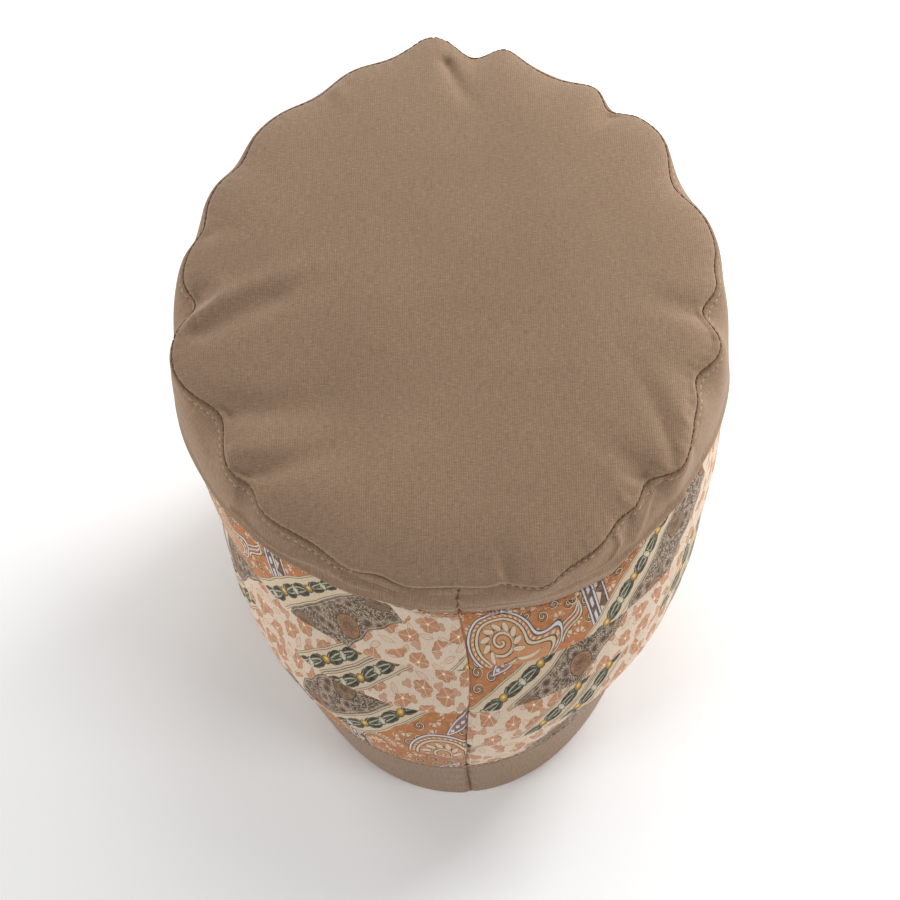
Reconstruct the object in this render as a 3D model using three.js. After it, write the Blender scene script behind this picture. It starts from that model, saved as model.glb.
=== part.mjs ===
// Pull-on turban cap of jersey, standing on its rim: a hem band, a print band laid in tucks,
// a side band that rolls over the print, and a puffed oval crown panel.
// Millimetres. +Z is up, +Y is the wearer's forward, +X is the wearer's right. The wearer's
// centre back, where every band is closed by a seam, is at -Y.

import * as THREE from 'three';

// Driving dimensions
const HEM_WALL = 2.4;
const PRINT_WALL = 1.5;
const BAND_WALL = 1.6;
const CROWN_WALL = 1.6;
const PIECE_GAP = 0.3;
const RIM_ROUNDING = 0.6;
const TUCK_STEP = 1.2;
const TUCK_LIP = 0.8;
const BAND_ROLL = 2;
const BAND_ROLL_BACK_SHARE = 0.4;
const CROWN_PUFF = 9;
const BACK_SHIFT = -20;

// Shape of the crown: how steeply it rolls up from its seam, how quickly the scallops fade
// towards the middle, how far in a crease reaches as a share of the radius, how much of the
// height it takes for each millimetre of pull, and the most it takes.
const CROWN_ROLL_POWER = 6;
const SCALLOP_FADE_POWER = 8;
const CREASE_REACH = 0.36;
const CREASE_PER_MM = 0.065;
const CREASE_MOST = 0.55;

// Facets
const BAND_STEPS = 84;
const CROWN_STEPS = 120;

// One row for each ring of the wall, from the rim up to the crown seam: the ring's height,
// its half width and half length, how far its centre lies sideways and forward, how many
// degrees its front tips up, the power of its rounded outline (2 is an ellipse), and how much
// wider (-) or narrower (+) its front is than its back.
const RINGS = [
  // height, halfWidth, halfLength, sideways, forward, tip, power, egg
  [0, 75, 104, 0.5, 0, 0, 2, -0.06],
  [23, 82, 104, -1, 0, 0, 2, -0.05],
  [50, 93, 107.5, 1.5, 3.5, 0.5, 2, -0.04],
  [78, 97.5, 105.5, 3, 12.5, 1.2, 2, -0.03],
  [105, 103.5, 105, 0, 22, 2.5, 1.96, -0.02],
  [122, 104, 112.5, -0.5, 27, 8, 1.92, -0.02],
  [136, 102, 115.5, 0.5, 29.5, 12.6, 1.92, -0.02],
];
const RIM = 0;
const HEM_SEAM = 1;
const PRINT_SEAM = 4;
const CROWN_SEAM = 6;

// One row for each place where the crown seam is pulled in (-) or stands out (+): its angle
// from the wearer's right, counted past the front at 90, the push in millimetres, and the
// spread in degrees. The centre back is at 270.
const SCALLOPS = [
  // angle, push, spread
  [30, -6, 5],
  [42, 3, 5],
  [53.5, -5, 2.5],
  [59, 2, 3],
  [68, -4.5, 6],
  [79, 3, 2.5],
  [85, -5.5, 3],
  [93, 5.5, 3.5],
  [103, -2, 4],
  [119, -4.5, 5],
  [142, -3.5, 3.5],
  [160, -3, 3.5],
  [179.5, -6.5, 3],
  [193, 4.5, 7],
  [209, -8.5, 5.5],
  [226, -4, 4],
  [240, -3.5, 5],
  [256, -3.5, 4.5],
  [271, -5, 8],
  [286, 2.5, 4],
  [306, -3, 4],
  [313, -6.5, 4],
  [340, -8, 5],
  [356, -8, 3.5],
];
const SCALLOP_START = 4.6;
const SCALLOP_POWER = 2.6;

// One row for each tuck of the print band: the ring level of its fold edge left and right of
// the centre back seam. A level of 2.5 lies halfway between the third and the fourth ring.
const TUCKS = [
  // left, right
  [1.57, 1.85],
  [2.45, 2.5],
  [3.1, 3.12],
];

// The column of the ring table at a level, on a smooth curve through the rows.
function column(level, index) {
  const last = RINGS.length - 1;
  const row = Math.min(Math.max(Math.floor(level), 0), last - 1);
  const at = (i) => {
    if (i < 0) return 2 * RINGS[0][index] - RINGS[1][index];
    if (i > last) return 2 * RINGS[last][index] - RINGS[last - 1][index];
    return RINGS[i][index];
  };
  const t = level - row;
  const [p0, p1, p2, p3] = [at(row - 1), at(row), at(row + 1), at(row + 2)];
  const cubic = 3 * (p1 - p2) + p3 - p0;
  const square = 2 * p0 - 5 * p1 + 4 * p2 - p3;
  return p1 + 0.5 * t * (p2 - p0 + t * (square + t * cubic));
}

// The shortest way round from one angle to another, in degrees.
function turn(from, to) {
  return THREE.MathUtils.euclideanModulo(to - from + 180, 360) - 180;
}

function bell(offset, spread) {
  return Math.exp(-0.5 * (offset / spread) ** 2);
}

// How far the crown seam stands out or in at an angle, as a sum of bells.
function scallop(degrees) {
  return SCALLOPS.reduce(
    (sum, [angle, push, spread]) => sum + push * bell(turn(angle, degrees), spread),
    0,
  );
}

// How deep the creases are that run inwards from the places where the seam is pulled in.
function crease(degrees) {
  return SCALLOPS.filter(([, push]) => push < 0).reduce(
    (sum, [angle, push, spread]) => sum - push * bell(turn(angle, degrees), spread),
    0,
  );
}

// The ring's centre, its radius at an angle and its tip in radians.
function ring(level, degrees) {
  const [height, halfWidth, halfLength, sideways, forward, tip, power, egg] = RINGS[0].map((_, i) =>
    column(level, i),
  );
  const angle = THREE.MathUtils.degToRad(degrees);
  const across = Math.abs(Math.cos(angle)) / (halfWidth * (1 - egg * Math.sin(angle)));
  const along = Math.abs(Math.sin(angle)) / halfLength;
  const round = (across ** power + along ** power) ** (-1 / power);
  const share = THREE.MathUtils.clamp((level - SCALLOP_START) / (CROWN_SEAM - SCALLOP_START), 0, 1);
  return {
    centre: new THREE.Vector3(sideways, forward + BACK_SHIFT, height),
    radius: round + share ** SCALLOP_POWER * scallop(degrees),
    tip: THREE.MathUtils.degToRad(tip),
    angle,
  };
}

// A point in the tipped plane of a ring, at a distance from its centre and above its plane.
function onRing({ centre, tip, angle }, distance, lift) {
  const point = new THREE.Vector3(distance * Math.cos(angle), distance * Math.sin(angle), lift);
  return point.applyAxisAngle(new THREE.Vector3(1, 0, 0), tip).add(centre);
}

// A point of the wall: depth is counted inwards from the outer face.
function wallPoint(level, degrees, depth) {
  const at = ring(level, degrees);
  return onRing(at, at.radius - depth, 0);
}

// A level moved up or down the wall by a height in millimetres.
function raise(level, millimetres) {
  const row = millimetres > 0 ? Math.floor(level) : Math.ceil(level) - 1;
  return level + millimetres / (RINGS[row + 1][0] - RINGS[row][0]);
}

// The rings of points for a list of rows, each a function of the angle.
function ringsOf(rows, steps) {
  return rows.map((row) => Array.from({ length: steps }, (_, n) => row(270 + (360 * (n + 0.5)) / steps)));
}

// A closed solid through rings of points. The rows go up the outside and down the inside. With
// ends, they run from one pole to the other, and without, the last joins the first.
function solid(rings, ends = []) {
  const steps = rings[0].length;
  const points = [...rings.flat(), ...ends];
  const faces = [];
  const joined = ends.length ? rings.length - 1 : rings.length;
  for (let m = 0; m < joined; m += 1) {
    for (let n = 0; n < steps; n += 1) {
      const next = (n + 1) % steps;
      const [low, high] = [m * steps, ((m + 1) % rings.length) * steps];
      faces.push(low + n, low + next, high + next, low + n, high + next, high + n);
    }
  }
  if (ends.length) {
    const [first, last] = [points.length - 2, points.length - 1];
    const top = (rings.length - 1) * steps;
    for (let n = 0; n < steps; n += 1) {
      const next = (n + 1) % steps;
      faces.push(first, next, n, top + n, top + next, last);
    }
  }
  const geometry = new THREE.BufferGeometry().setFromPoints(points);
  geometry.setIndex(faces);
  geometry.computeVertexNormals();
  return geometry;
}

function piece(name, geometry, colour, roughness) {
  const material = new THREE.MeshStandardMaterial({ color: colour, roughness, metalness: 0 });
  const mesh = new THREE.Mesh(geometry, material);
  mesh.name = name;
  return mesh;
}

// A row of the wall at one level and depth all the way round.
function wallRow(level, depth) {
  return (degrees) => wallPoint(level, degrees, depth);
}

// The hem stands on a flat underside and has a softly rounded lower edge.
function hemBand() {
  const top = raise(HEM_SEAM, -PIECE_GAP / 2);
  const middle = (RIM + HEM_SEAM) / 2;
  const outside = [
    wallRow(RIM, RIM_ROUNDING),
    wallRow(raise(RIM, 2 * RIM_ROUNDING), 0),
    wallRow(middle, 0),
    wallRow(top, 0),
  ];
  const inside = [top, middle, RIM].map((level) => wallRow(level, HEM_WALL));
  return solid(ringsOf([...outside, ...inside], BAND_STEPS));
}

// The level of a tuck's fold edge: left and right of the centre back seam it has its own
// value, and the two meet smoothly at the front.
function tuckLevel([left, right], degrees) {
  const fromFront = turn(90, degrees) / 180;
  return THREE.MathUtils.lerp(right, left, 0.5 + 0.5 * Math.sin((Math.PI / 2) * fromFront));
}

// The print band thickens down to each fold edge and steps back in under it.
function printBand() {
  const bottom = raise(HEM_SEAM, PIECE_GAP / 2);
  const top = raise(PRINT_SEAM, -PIECE_GAP / 2);
  const outside = [wallRow(bottom, 0)];
  for (const tuck of TUCKS) {
    const edge = (degrees) => tuckLevel(tuck, degrees);
    outside.push((degrees) => wallPoint(edge(degrees), degrees, 0));
    outside.push((degrees) => wallPoint(edge(degrees), degrees, -TUCK_LIP));
    outside.push((degrees) => wallPoint(raise(edge(degrees), TUCK_LIP), degrees, -TUCK_STEP));
  }
  outside.push(wallRow(PRINT_SEAM - 0.4, -TUCK_STEP / 3), wallRow(top, 0));
  const inside = [top, 3, 2, bottom].map((level) => wallRow(level, PRINT_WALL));
  return solid(ringsOf([...outside, ...inside], BAND_STEPS));
}

// How far the side band rolls out at one angle: fully at the front and least at the centre back.
function bandRoll(degrees) {
  const frontness = 0.5 + 0.5 * Math.sin(THREE.MathUtils.degToRad(degrees));
  return BAND_ROLL * THREE.MathUtils.lerp(BAND_ROLL_BACK_SHARE, 1, frontness);
}

// The side band rolls out over the print seam and is drawn into the scallops above.
function sideBand() {
  const bottom = raise(PRINT_SEAM, PIECE_GAP / 2);
  const rows = [
    // level, share of the roll
    [bottom, 0],
    [4.45, 0.9],
    [5.2, 1],
    [5.7, 0.65],
    [CROWN_SEAM, 0],
  ];
  const row = ([level, share], depth) => (degrees) =>
    wallPoint(level, degrees, depth - share * bandRoll(degrees));
  const outside = rows.map((entry) => row(entry, 0));
  const inside = rows.toReversed().map((entry) => row(entry, BAND_WALL));
  return solid(ringsOf([...outside, ...inside], CROWN_STEPS));
}

// The crown panel rolls up steeply from its seam and is nearly flat across the middle. Each
// place where the seam is pulled in sends a crease towards the middle.
function crownPanel() {
  const outer = [1, 0.985, 0.95, 0.9, 0.8, 0.65, 0.45, 0.22];
  const inner = [0.22, 0.5, 0.75, 0.9, 0.97, 1];
  const row = (share, wall) => (degrees) => {
    const at = ring(CROWN_SEAM, degrees);
    const push = scallop(degrees);
    const radius = at.radius - push + push * share ** SCALLOP_FADE_POWER - wall;
    const near = THREE.MathUtils.clamp(1 - (1 - share) / CREASE_REACH, 0, 1) ** 2;
    const dent = near * Math.min(CREASE_PER_MM * crease(degrees), CREASE_MOST);
    const puff = (CROWN_PUFF - wall) * Math.sqrt(1 - share ** CROWN_ROLL_POWER);
    return onRing(at, radius * share, PIECE_GAP + puff * (1 - dent));
  };
  const under = inner.map((share) => row(share, CROWN_WALL));
  const over = outer.map((share) => row(share, 0));
  const poles = [CROWN_WALL, 0].map((wall) => row(0, wall)(0));
  return solid(ringsOf([...under, ...over], CROWN_STEPS), poles);
}

const cap = new THREE.Group();
cap.add(piece('hem_band', hemBand(), 0x856e5c, 0.85));
cap.add(piece('print_band', printBand(), 0xc39b78, 0.8));
cap.add(piece('side_band', sideBand(), 0x83705a, 0.85));
cap.add(piece('crown_panel', crownPanel(), 0x907860, 0.85));

export default cap;
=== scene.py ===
"""A pull-on turban cap: a puffed crown, a side band, a printed band laid in tucks and a folded hem.

Every piece of cloth is a surface of two parameters, worked out in millimetres around the wall
that the frame holds and written to its mesh in metres. +Z is up, +Y is the wearer's forward and
+X the wearer's right. The seams that close the bands are at the centre back, at -Y.
"""

import logging
import math
from dataclasses import astuple, dataclass
from enum import Enum
from itertools import pairwise

import bpy
import numpy as np
from mathutils import Matrix, Vector


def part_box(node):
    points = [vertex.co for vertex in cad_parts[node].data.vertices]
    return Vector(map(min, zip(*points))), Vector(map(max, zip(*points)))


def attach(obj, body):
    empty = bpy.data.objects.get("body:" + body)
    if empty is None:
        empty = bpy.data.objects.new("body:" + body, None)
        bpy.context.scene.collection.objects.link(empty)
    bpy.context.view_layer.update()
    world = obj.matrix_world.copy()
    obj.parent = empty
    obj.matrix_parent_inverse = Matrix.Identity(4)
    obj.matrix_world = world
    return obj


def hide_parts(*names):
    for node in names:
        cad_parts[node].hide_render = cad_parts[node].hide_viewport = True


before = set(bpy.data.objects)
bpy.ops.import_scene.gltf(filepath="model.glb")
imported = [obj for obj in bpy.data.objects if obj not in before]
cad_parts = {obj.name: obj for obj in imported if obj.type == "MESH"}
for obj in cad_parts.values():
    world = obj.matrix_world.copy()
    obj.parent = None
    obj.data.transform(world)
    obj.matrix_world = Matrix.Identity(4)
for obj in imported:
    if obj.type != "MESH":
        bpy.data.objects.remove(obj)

Array = np.ndarray
Span = tuple[float, float]
Piece = bpy.types.Object
Material = bpy.types.Material
Socket = bpy.types.NodeSocket

MM = 0.001
FULL_TURN = 360.0
CENTRE_BACK = 270.0
FRONT = 90.0
CLOTH_MAP = "cloth"

log = logging.getLogger("turban_cap")


class Slot(Enum):
    """The record's material slots."""

    PLAIN = "plain_jersey"
    PRINTED = "printed_jersey"


class Hold(Enum):
    """How a sheet of cloth is held."""

    GATHERED = "gathered"
    FOLDED = "folded"


class Motif(Enum):
    """What is printed in a stripe of the print band."""

    PAISLEY = "paisley"
    VINE = "vine"
    FERN = "fern"
    FLOWERS = "flowers"


def bell(offset: Array, spread: Array | float) -> Array:
    """A bell of height 1: e to the power of minus half the square of offset over spread."""
    return np.exp(-0.5 * (offset / spread) ** 2)


@dataclass(frozen=True)
class Ring:
    """A ring of the wall, in millimetres and degrees. Power 2 is an ellipse, and an egg under 0
    makes the front wider than the back."""

    height: float
    half_width: float
    half_length: float
    sideways: float
    forward: float
    tip: float
    power: float
    egg: float


@dataclass(frozen=True)
class Pull:
    """A place round the wall that is pulled in (-) or stands out (+), as a bell of a spread."""

    angle: float
    push: float
    spread: float


@dataclass(frozen=True)
class Crease:
    """A line that cloth is drawn along: a valley where its depth is over 0, a ridge under 0. It
    widens and fades from its first point to its last, all in the cloth's own millimetres."""

    width: float
    depth: float
    points: tuple[Span, ...]
    last: float = 0.0

    def sink(self, x: Array, y: Array) -> Array:
        """How far the crease sinks the cloth: its depth, fading along it, times a bell of the
        distance to its nearest stretch, which widens from three to five quarters of the width.

        Args:
            x: First place on the cloth.
            y: Second place on the cloth.

        Returns:
            The depth in millimetres.
        """
        off, share, start = np.full(x.shape, np.inf), np.zeros(x.shape), 0.0
        total = sum(math.dist(a, b) for a, b in pairwise(self.points))
        for a, b in pairwise(self.points):
            length = math.dist(a, b)
            run = (b[0] - a[0]) / length, (b[1] - a[1]) / length
            where = np.clip((x - a[0]) * run[0] + (y - a[1]) * run[1], 0, length)
            away = np.hypot(x - a[0] - where * run[0], y - a[1] - where * run[1])
            share = np.where(away < off, (start + where) / total, share)
            off = np.minimum(off, away)
            start += length
        return self.depth * (1 + (self.last - 1) * share) * bell(off, self.width * (0.75 + 0.5 * share))


@dataclass(frozen=True)
class Stripe:
    """A stripe of the print: what it shows and how wide it is, in millimetres."""

    motif: Motif
    width: float


RIM, HEM_SEAM, PRINT_MIDDLE, PRINT_SEAM, CROWN_SEAM = 0, 1, 2, 4, 6

RINGS = (
    Ring(0, 75, 104, 0.5, -20, 0, 2, -0.06),
    Ring(23, 82, 104, -1, -20, 0, 2, -0.05),
    Ring(50, 93, 107.5, 1.5, -16.5, 0.5, 2, -0.04),
    Ring(78, 97.5, 105.5, 3, -7.5, 1.2, 2, -0.03),
    Ring(105, 103.5, 105, 0, 2, 2.5, 1.96, -0.02),
    Ring(122, 104, 112.5, -0.5, 7, 8, 1.92, -0.02),
    Ring(136, 102, 115.5, 0.5, 9.5, 12.6, 1.92, -0.02),
)

SCALLOPS = (
    Pull(30, -6, 5),
    Pull(42, 3, 5),
    Pull(53.5, -5, 2.5),
    Pull(59, 2, 3),
    Pull(68, -4.5, 6),
    Pull(79, 3, 2.5),
    Pull(85, -5.5, 3),
    Pull(93, 5.5, 3.5),
    Pull(103, -2, 4),
    Pull(119, -4.5, 5),
    Pull(142, -3.5, 3.5),
    Pull(160, -3, 3.5),
    Pull(179.5, -6.5, 3),
    Pull(193, 4, 6),
    Pull(208, -7.5, 5),
    Pull(225, -3.5, 2.5),
    Pull(243, -3.5, 6),
    Pull(256, -3.5, 3),
    Pull(270, -5, 7),
    Pull(279, -1.5, 1.5),
    Pull(286, 3, 2.5),
    Pull(304, -3.5, 3),
    Pull(313, -5.5, 3),
    Pull(321, 2, 2.5),
    Pull(332, -2.5, 3),
    Pull(340, -7, 3.5),
    Pull(357, -8.5, 3.5),
    Pull(7, -2.5, 3),
)

CROWN_CREASES = (
    Crease(26, 4.6, ((-45, -44), (45, -44))),
    Crease(3.2, -2.2, ((-97, -6), (-82, 2), (-62, 9.5), (-38, 16))),
    Crease(4.4, 1.9, ((-92, -11), (-76, -4), (-59, 4), (-38, 12))),
    Crease(4.6, 1.1, ((-65, 1), (-76, -4), (-88, -9))),
    Crease(1.8, -2.0, ((-92, -5), (-84.5, 2), (-85.5, 8)), 0.3),
    Crease(3.0, 2.4, ((-96, 3), (-88, 7))),
    Crease(4.2, 3.0, ((-90, -42), (-69, -44), (-54, -42), (-35, -37))),
    Crease(4.0, -1.3, ((-80, -60), (-65, -59.5), (-36, -50))),
    Crease(3.6, 2.3, ((-79, -67), (-64, -66.5), (-33, -57))),
    Crease(1.6, -0.8, ((-71, -74), (-69, -67))),
    Crease(3.4, 1.9, ((95, -9), (80, -4.6), (68, 2))),
    Crease(4.5, 1.2, ((96, -17), (84, -29))),
    Crease(2.4, 1.2, ((79, -66), (76, -54), (67, -32), (63, -26)), 0.2),
    Crease(2.6, -1.0, ((84, -51), (78, -39), (72, -28))),
    Crease(2.2, 0.9, ((89, -47), (85, -33), (80, -25))),
    Crease(3.4, 1.0, ((70, -71), (57, -63), (42, -52))),
    Crease(1.8, 1.0, ((65, -79), (57, -73))),
    Crease(2.4, 2.4, ((-1, 106), (4, 92), (12, 79))),
    Crease(0.9, -1.3, ((16.6, -112), (14.9, -107), (14.2, -99))),
    Crease(1.6, 1.2, ((19.5, -112), (18, -106), (17, -99))),
    Crease(1.6, 1.6, ((68, -72), (63, -72), (57, -70))),
    Crease(3.0, 0.9, ((-95, 30), (-85, 32), (-74, 31))),
    Crease(2.5, -0.9, ((-44, 95), (-39, 82))),
    Crease(2.2, 1.3, ((64, 81), (56, 74))),
)

BAND_CREASES = (
    Crease(0.8, -1.2, ((-86, 10.8), (-70, 8.6), (-58, 7.2), (-47, 4.5), (-37, 2.4)), 0.6),
    Crease(0.7, 0.9, ((-86, 12.6), (-70, 10.4), (-58, 9), (-47, 6.3), (-35, 4.2))),
    Crease(0.9, -0.8, ((-36, 2.6), (-26, 3.4), (-14, 4.2)), 0.5),
    Crease(0.7, 0.8, ((-34, 1.2), (-24, 1.8), (-10, 2.4)), 0.5),
    Crease(1.2, -1.2, ((64, 0.7), (66, 7.6), (61, 12.5), (51, 11.5), (36, 5.8)), 0.4),
    Crease(1.6, 1.3, ((72, 0.3), (70, 7)), 0.3),
    Crease(1.4, -1.0, ((86, 1.5), (79, 5), (75, 9)), 0.5),
    Crease(2.6, 2.0, ((89, 0), (93, 11)), 0.3),
    Crease(1.1, -0.9, ((103, 15), (93, 16), (85, 16.5), (74, 12.5)), 0.5),
    Crease(1.8, 1.2, ((110, 0), (114, 10)), 0.3),
    Crease(1.5, -0.8, ((-86, 1), (-84, 9)), 0.3),
)
BAND_NIPS = (Pull(181, 3.5, 3), Pull(160, 1.2, 3))
PRINT_SEAM_RISE = (
    (0, 0), (200, 0.5), (235, 4), (244, 8), (258, 6.5), (265, 0), (278, -0.5), (288, -4), (303, -5),
    (312, 2.5), (332, 4.5), (360, 0),
)
SEAM_LEAN = ((RIM, 2.2), (HEM_SEAM, 2.4), (PRINT_MIDDLE, 1.2), (CROWN_SEAM, 0.9))
BACK_OVERHANG = (Pull(272, 2.6, 9), Pull(252, 1.2, 6), Pull(226, 0.8, 8))

PRINT = (
    Stripe(Motif.PAISLEY, 46),
    Stripe(Motif.VINE, 11),
    Stripe(Motif.FERN, 16.5),
    Stripe(Motif.FLOWERS, 24),
    Stripe(Motif.VINE, 9),
    Stripe(Motif.VINE, 9),
    Stripe(Motif.FLOWERS, 24),
    Stripe(Motif.FERN, 16.5),
    Stripe(Motif.VINE, 9.5),
)


def turn_between(start: Array | float, end: Array | float) -> Array:
    """The shortest way round from one angle to another, from -180 to 180 degrees."""
    return np.mod(end - start + FULL_TURN / 2, FULL_TURN) - FULL_TURN / 2


def pulled(pulls: tuple[Pull, ...], angle: Array) -> Array:
    """The sum at an angle of each pull's push times its bell.

    Args:
        pulls: The pulls.
        angle: Angle in degrees.

    Returns:
        The sum in millimetres.
    """
    rows = np.array([astuple(pull) for pull in pulls])
    offset = turn_between(rows[:, 0], np.asarray(angle, float)[..., None])
    return (rows[:, 1] * bell(offset, rows[:, 2])).sum(-1)


def drawn_in(spread_share: float, angle: Array) -> Array:
    """How hard the crown seam is drawn in at an angle, from the scallops that are pulled in."""
    inward = (scallop for scallop in SCALLOPS if scallop.push < 0)
    return pulled(tuple(Pull(p.angle, -p.push, p.spread * spread_share) for p in inward), angle)


def soft_waves(across: Array, up: Array, length: float, seed: int) -> Array:
    """A calm random relief from -1 to 1: the mean of a few plane waves whose lengths and directions
    come from a seeded draw.

    Args:
        across: Place along the cloth, in millimetres.
        up: Place up the cloth, in millimetres.
        length: The waves' mean length, in millimetres.
        seed: Seed of the draw.

    Returns:
        The relief at each place.
    """
    draw, waves = np.random.default_rng(seed), 6
    turns = draw.uniform(-1.2, 1.2, waves)
    lengths = length * draw.uniform(0.6, 1.6, waves)
    phases = draw.uniform(0, 2 * math.pi, waves)
    along = across[..., None] * np.cos(turns) + up[..., None] * np.sin(turns)
    return np.sin(2 * math.pi * along / lengths + phases).mean(-1)


def gathers(size: float, pitch: float, reach: float, along: Array, from_seam: Array) -> Array:
    """Small gathers beside a seam: a size times a sine of a pitch along it, fading over a reach."""
    return size * np.sin(2 * math.pi * along / pitch) * np.exp(-from_seam / reach)


def turned_edge(base: Array, rows: tuple[Span, ...]) -> tuple[Array, Array]:
    """The heights and depths of an edge that is turned in, from rises over a base and depths."""
    rise, depth = np.array(rows).T[..., None]
    return base + rise, depth + 0 * base


class Wall:
    """The outer face of the cap's wall, a surface of a level and an angle. Levels count the rings
    from the rim at 0 to the crown seam at 6. Angles count from the wearer's right past the front."""

    scallop_start = 4.6
    scallop_power = 2.6

    def __init__(self, rings: tuple[Ring, ...], scallops: tuple[Pull, ...]) -> None:
        """Scales and moves the wall so that its hem fills the frame's box.

        Args:
            rings: The rings, from the rim up.
            scallops: The pulls that wave the crown seam in and out.
        """
        rows = np.array([astuple(ring) for ring in rings])
        self.rows = np.vstack([2 * rows[0] - rows[1], rows, 2 * rows[-1] - rows[-2]])
        self.heights = rows[:, 0]
        self.scallops = scallops
        self.scale, self.shift = np.ones(3), np.zeros(3)
        low, high = (np.array(corner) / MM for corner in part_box("hem_band"))
        angle = np.linspace(0, FULL_TURN, 2 * int(FULL_TURN) + 1)
        top = high[2] / self.heights[HEM_SEAM]
        hem = np.concatenate([self.point(RIM, angle), self.point(top, angle)])
        self.scale = (high - low) / (hem.max(0) - hem.min(0))
        self.shift = low - hem.min(0) * self.scale

    def ring(self, level: Array | float) -> Array:
        """The ring table between its rows, on a cubic through the two rows on each side.

        Args:
            level: Ring level.

        Returns:
            The table's columns at the level, as the last axis.
        """
        level = np.asarray(level, float)
        row = np.clip(np.floor(level), 0, len(self.heights) - 2).astype(int)
        share = (level - row)[..., None]
        p0, p1, p2, p3 = (self.rows[row + step] for step in range(4))
        square = 2 * p0 - 5 * p1 + 4 * p2 - p3
        cubic = 3 * (p1 - p2) + p3 - p0
        return p1 + 0.5 * share * (p2 - p0 + share * (square + share * cubic))

    def scallop_share(self, level: Array | float) -> Array:
        """How much of the scallops a level has, a power of its share of the way to the crown seam."""
        share = np.clip((level - self.scallop_start) / (CROWN_SEAM - self.scallop_start), 0, 1)
        return share**self.scallop_power

    def radius(self, level: Array | float, angle: Array) -> Array:
        """The ring's radius: a superellipse with an egg's width, plus the scallops near the top.

        Args:
            level: Ring level.
            angle: Angle in degrees.

        Returns:
            The distance from the ring's centre, in millimetres.
        """
        _, wide, long, _, _, _, power, egg = np.moveaxis(self.ring(level), -1, 0)
        turn = np.radians(angle)
        across = np.abs(np.cos(turn)) / (wide * (1 - egg * np.sin(turn)))
        along = np.abs(np.sin(turn)) / long
        round_part = (across**power + along**power) ** (-1 / power)
        return round_part + self.scallop_share(level) * pulled(self.scallops, angle)

    def on_ring(self, level: Array | float, angle: Array, distance: Array, lift: Array | float) -> Array:
        """A point in the tipped plane of a ring.

        Args:
            level: Ring level.
            angle: Angle in degrees.
            distance: Distance from the ring's centre, in millimetres.
            lift: Distance above the ring's plane, in millimetres.

        Returns:
            The points, in millimetres.
        """
        height, _, _, sideways, forward, tip, _, _ = np.moveaxis(self.ring(level), -1, 0)
        turn, lean = np.radians(angle), np.radians(tip)
        right, ahead = distance * np.cos(turn), distance * np.sin(turn)
        point = (
            sideways + right,
            forward + ahead * np.cos(lean) - lift * np.sin(lean),
            height + ahead * np.sin(lean) + lift * np.cos(lean),
        )
        return np.stack(np.broadcast_arrays(*point), -1) * self.scale + self.shift

    def point(self, level: Array | float, angle: Array, depth: Array | float = 0.0) -> Array:
        """A point at a depth under the outer face, turned by as much as the back seam leans there."""
        angle = angle + np.interp(level, *zip(*SEAM_LEAN))
        return self.on_ring(level, angle, self.radius(level, angle) - depth, 0.0)

    def level_at(self, height: Array) -> Array:
        """The level whose ring is at a height, on straight stretches between the rings."""
        return np.interp(height, self.heights, np.arange(len(self.heights)))

    def print_seam_rise(self, angle: Array) -> Array:
        """How far above its own ring the print seam runs at an angle, in millimetres."""
        return np.interp(np.mod(angle + SEAM_LEAN[-1][1], FULL_TURN), *zip(*PRINT_SEAM_RISE))

    def print_seam(self, angle: Array) -> Array:
        """The level of the print seam at an angle."""
        return self.level_at(self.heights[PRINT_SEAM] + self.print_seam_rise(angle))

    def length_round(self, level: float, angle: Array) -> Array:
        """The length along a ring from the centre back, added up in eighths of a degree.

        Args:
            level: Ring level.
            angle: Angles from 270 to 630 degrees.

        Returns:
            The length to each angle, in millimetres.
        """
        fine = np.linspace(CENTRE_BACK, CENTRE_BACK + FULL_TURN, 8 * int(FULL_TURN) + 1)
        steps = np.linalg.norm(np.diff(self.point(level, fine), axis=0), axis=-1)
        return np.interp(angle, fine, np.concatenate([[0.0], np.cumsum(steps)]))


def back_to_back(count: int, closeness: float = 0.72) -> Array:
    """Angles once round from the centre back, denser there by a share of the sine of a whole turn."""
    share = np.linspace(0, 1, count)
    return CENTRE_BACK + FULL_TURN * (share - closeness * np.sin(2 * math.pi * share) / (2 * math.pi))


def grid_faces(rows: int, columns: int, wrapped: bool) -> Array:
    """The four corners of each cell of a grid of points, in an order that faces outwards when the
    rows go down the outside and the columns go round past the front.

    Args:
        rows: How many rows of points.
        columns: How many points in a row.
        wrapped: Whether the last column joins the first.

    Returns:
        The corner numbers, a cell to a row.
    """
    across = np.arange(columns if wrapped else columns - 1)
    corner = np.arange(rows - 1)[:, None] * columns
    left, right = corner + across, corner + (across + 1) % columns
    return np.stack([left, left + columns, right + columns, right], -1).reshape(-1, 4)


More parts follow.
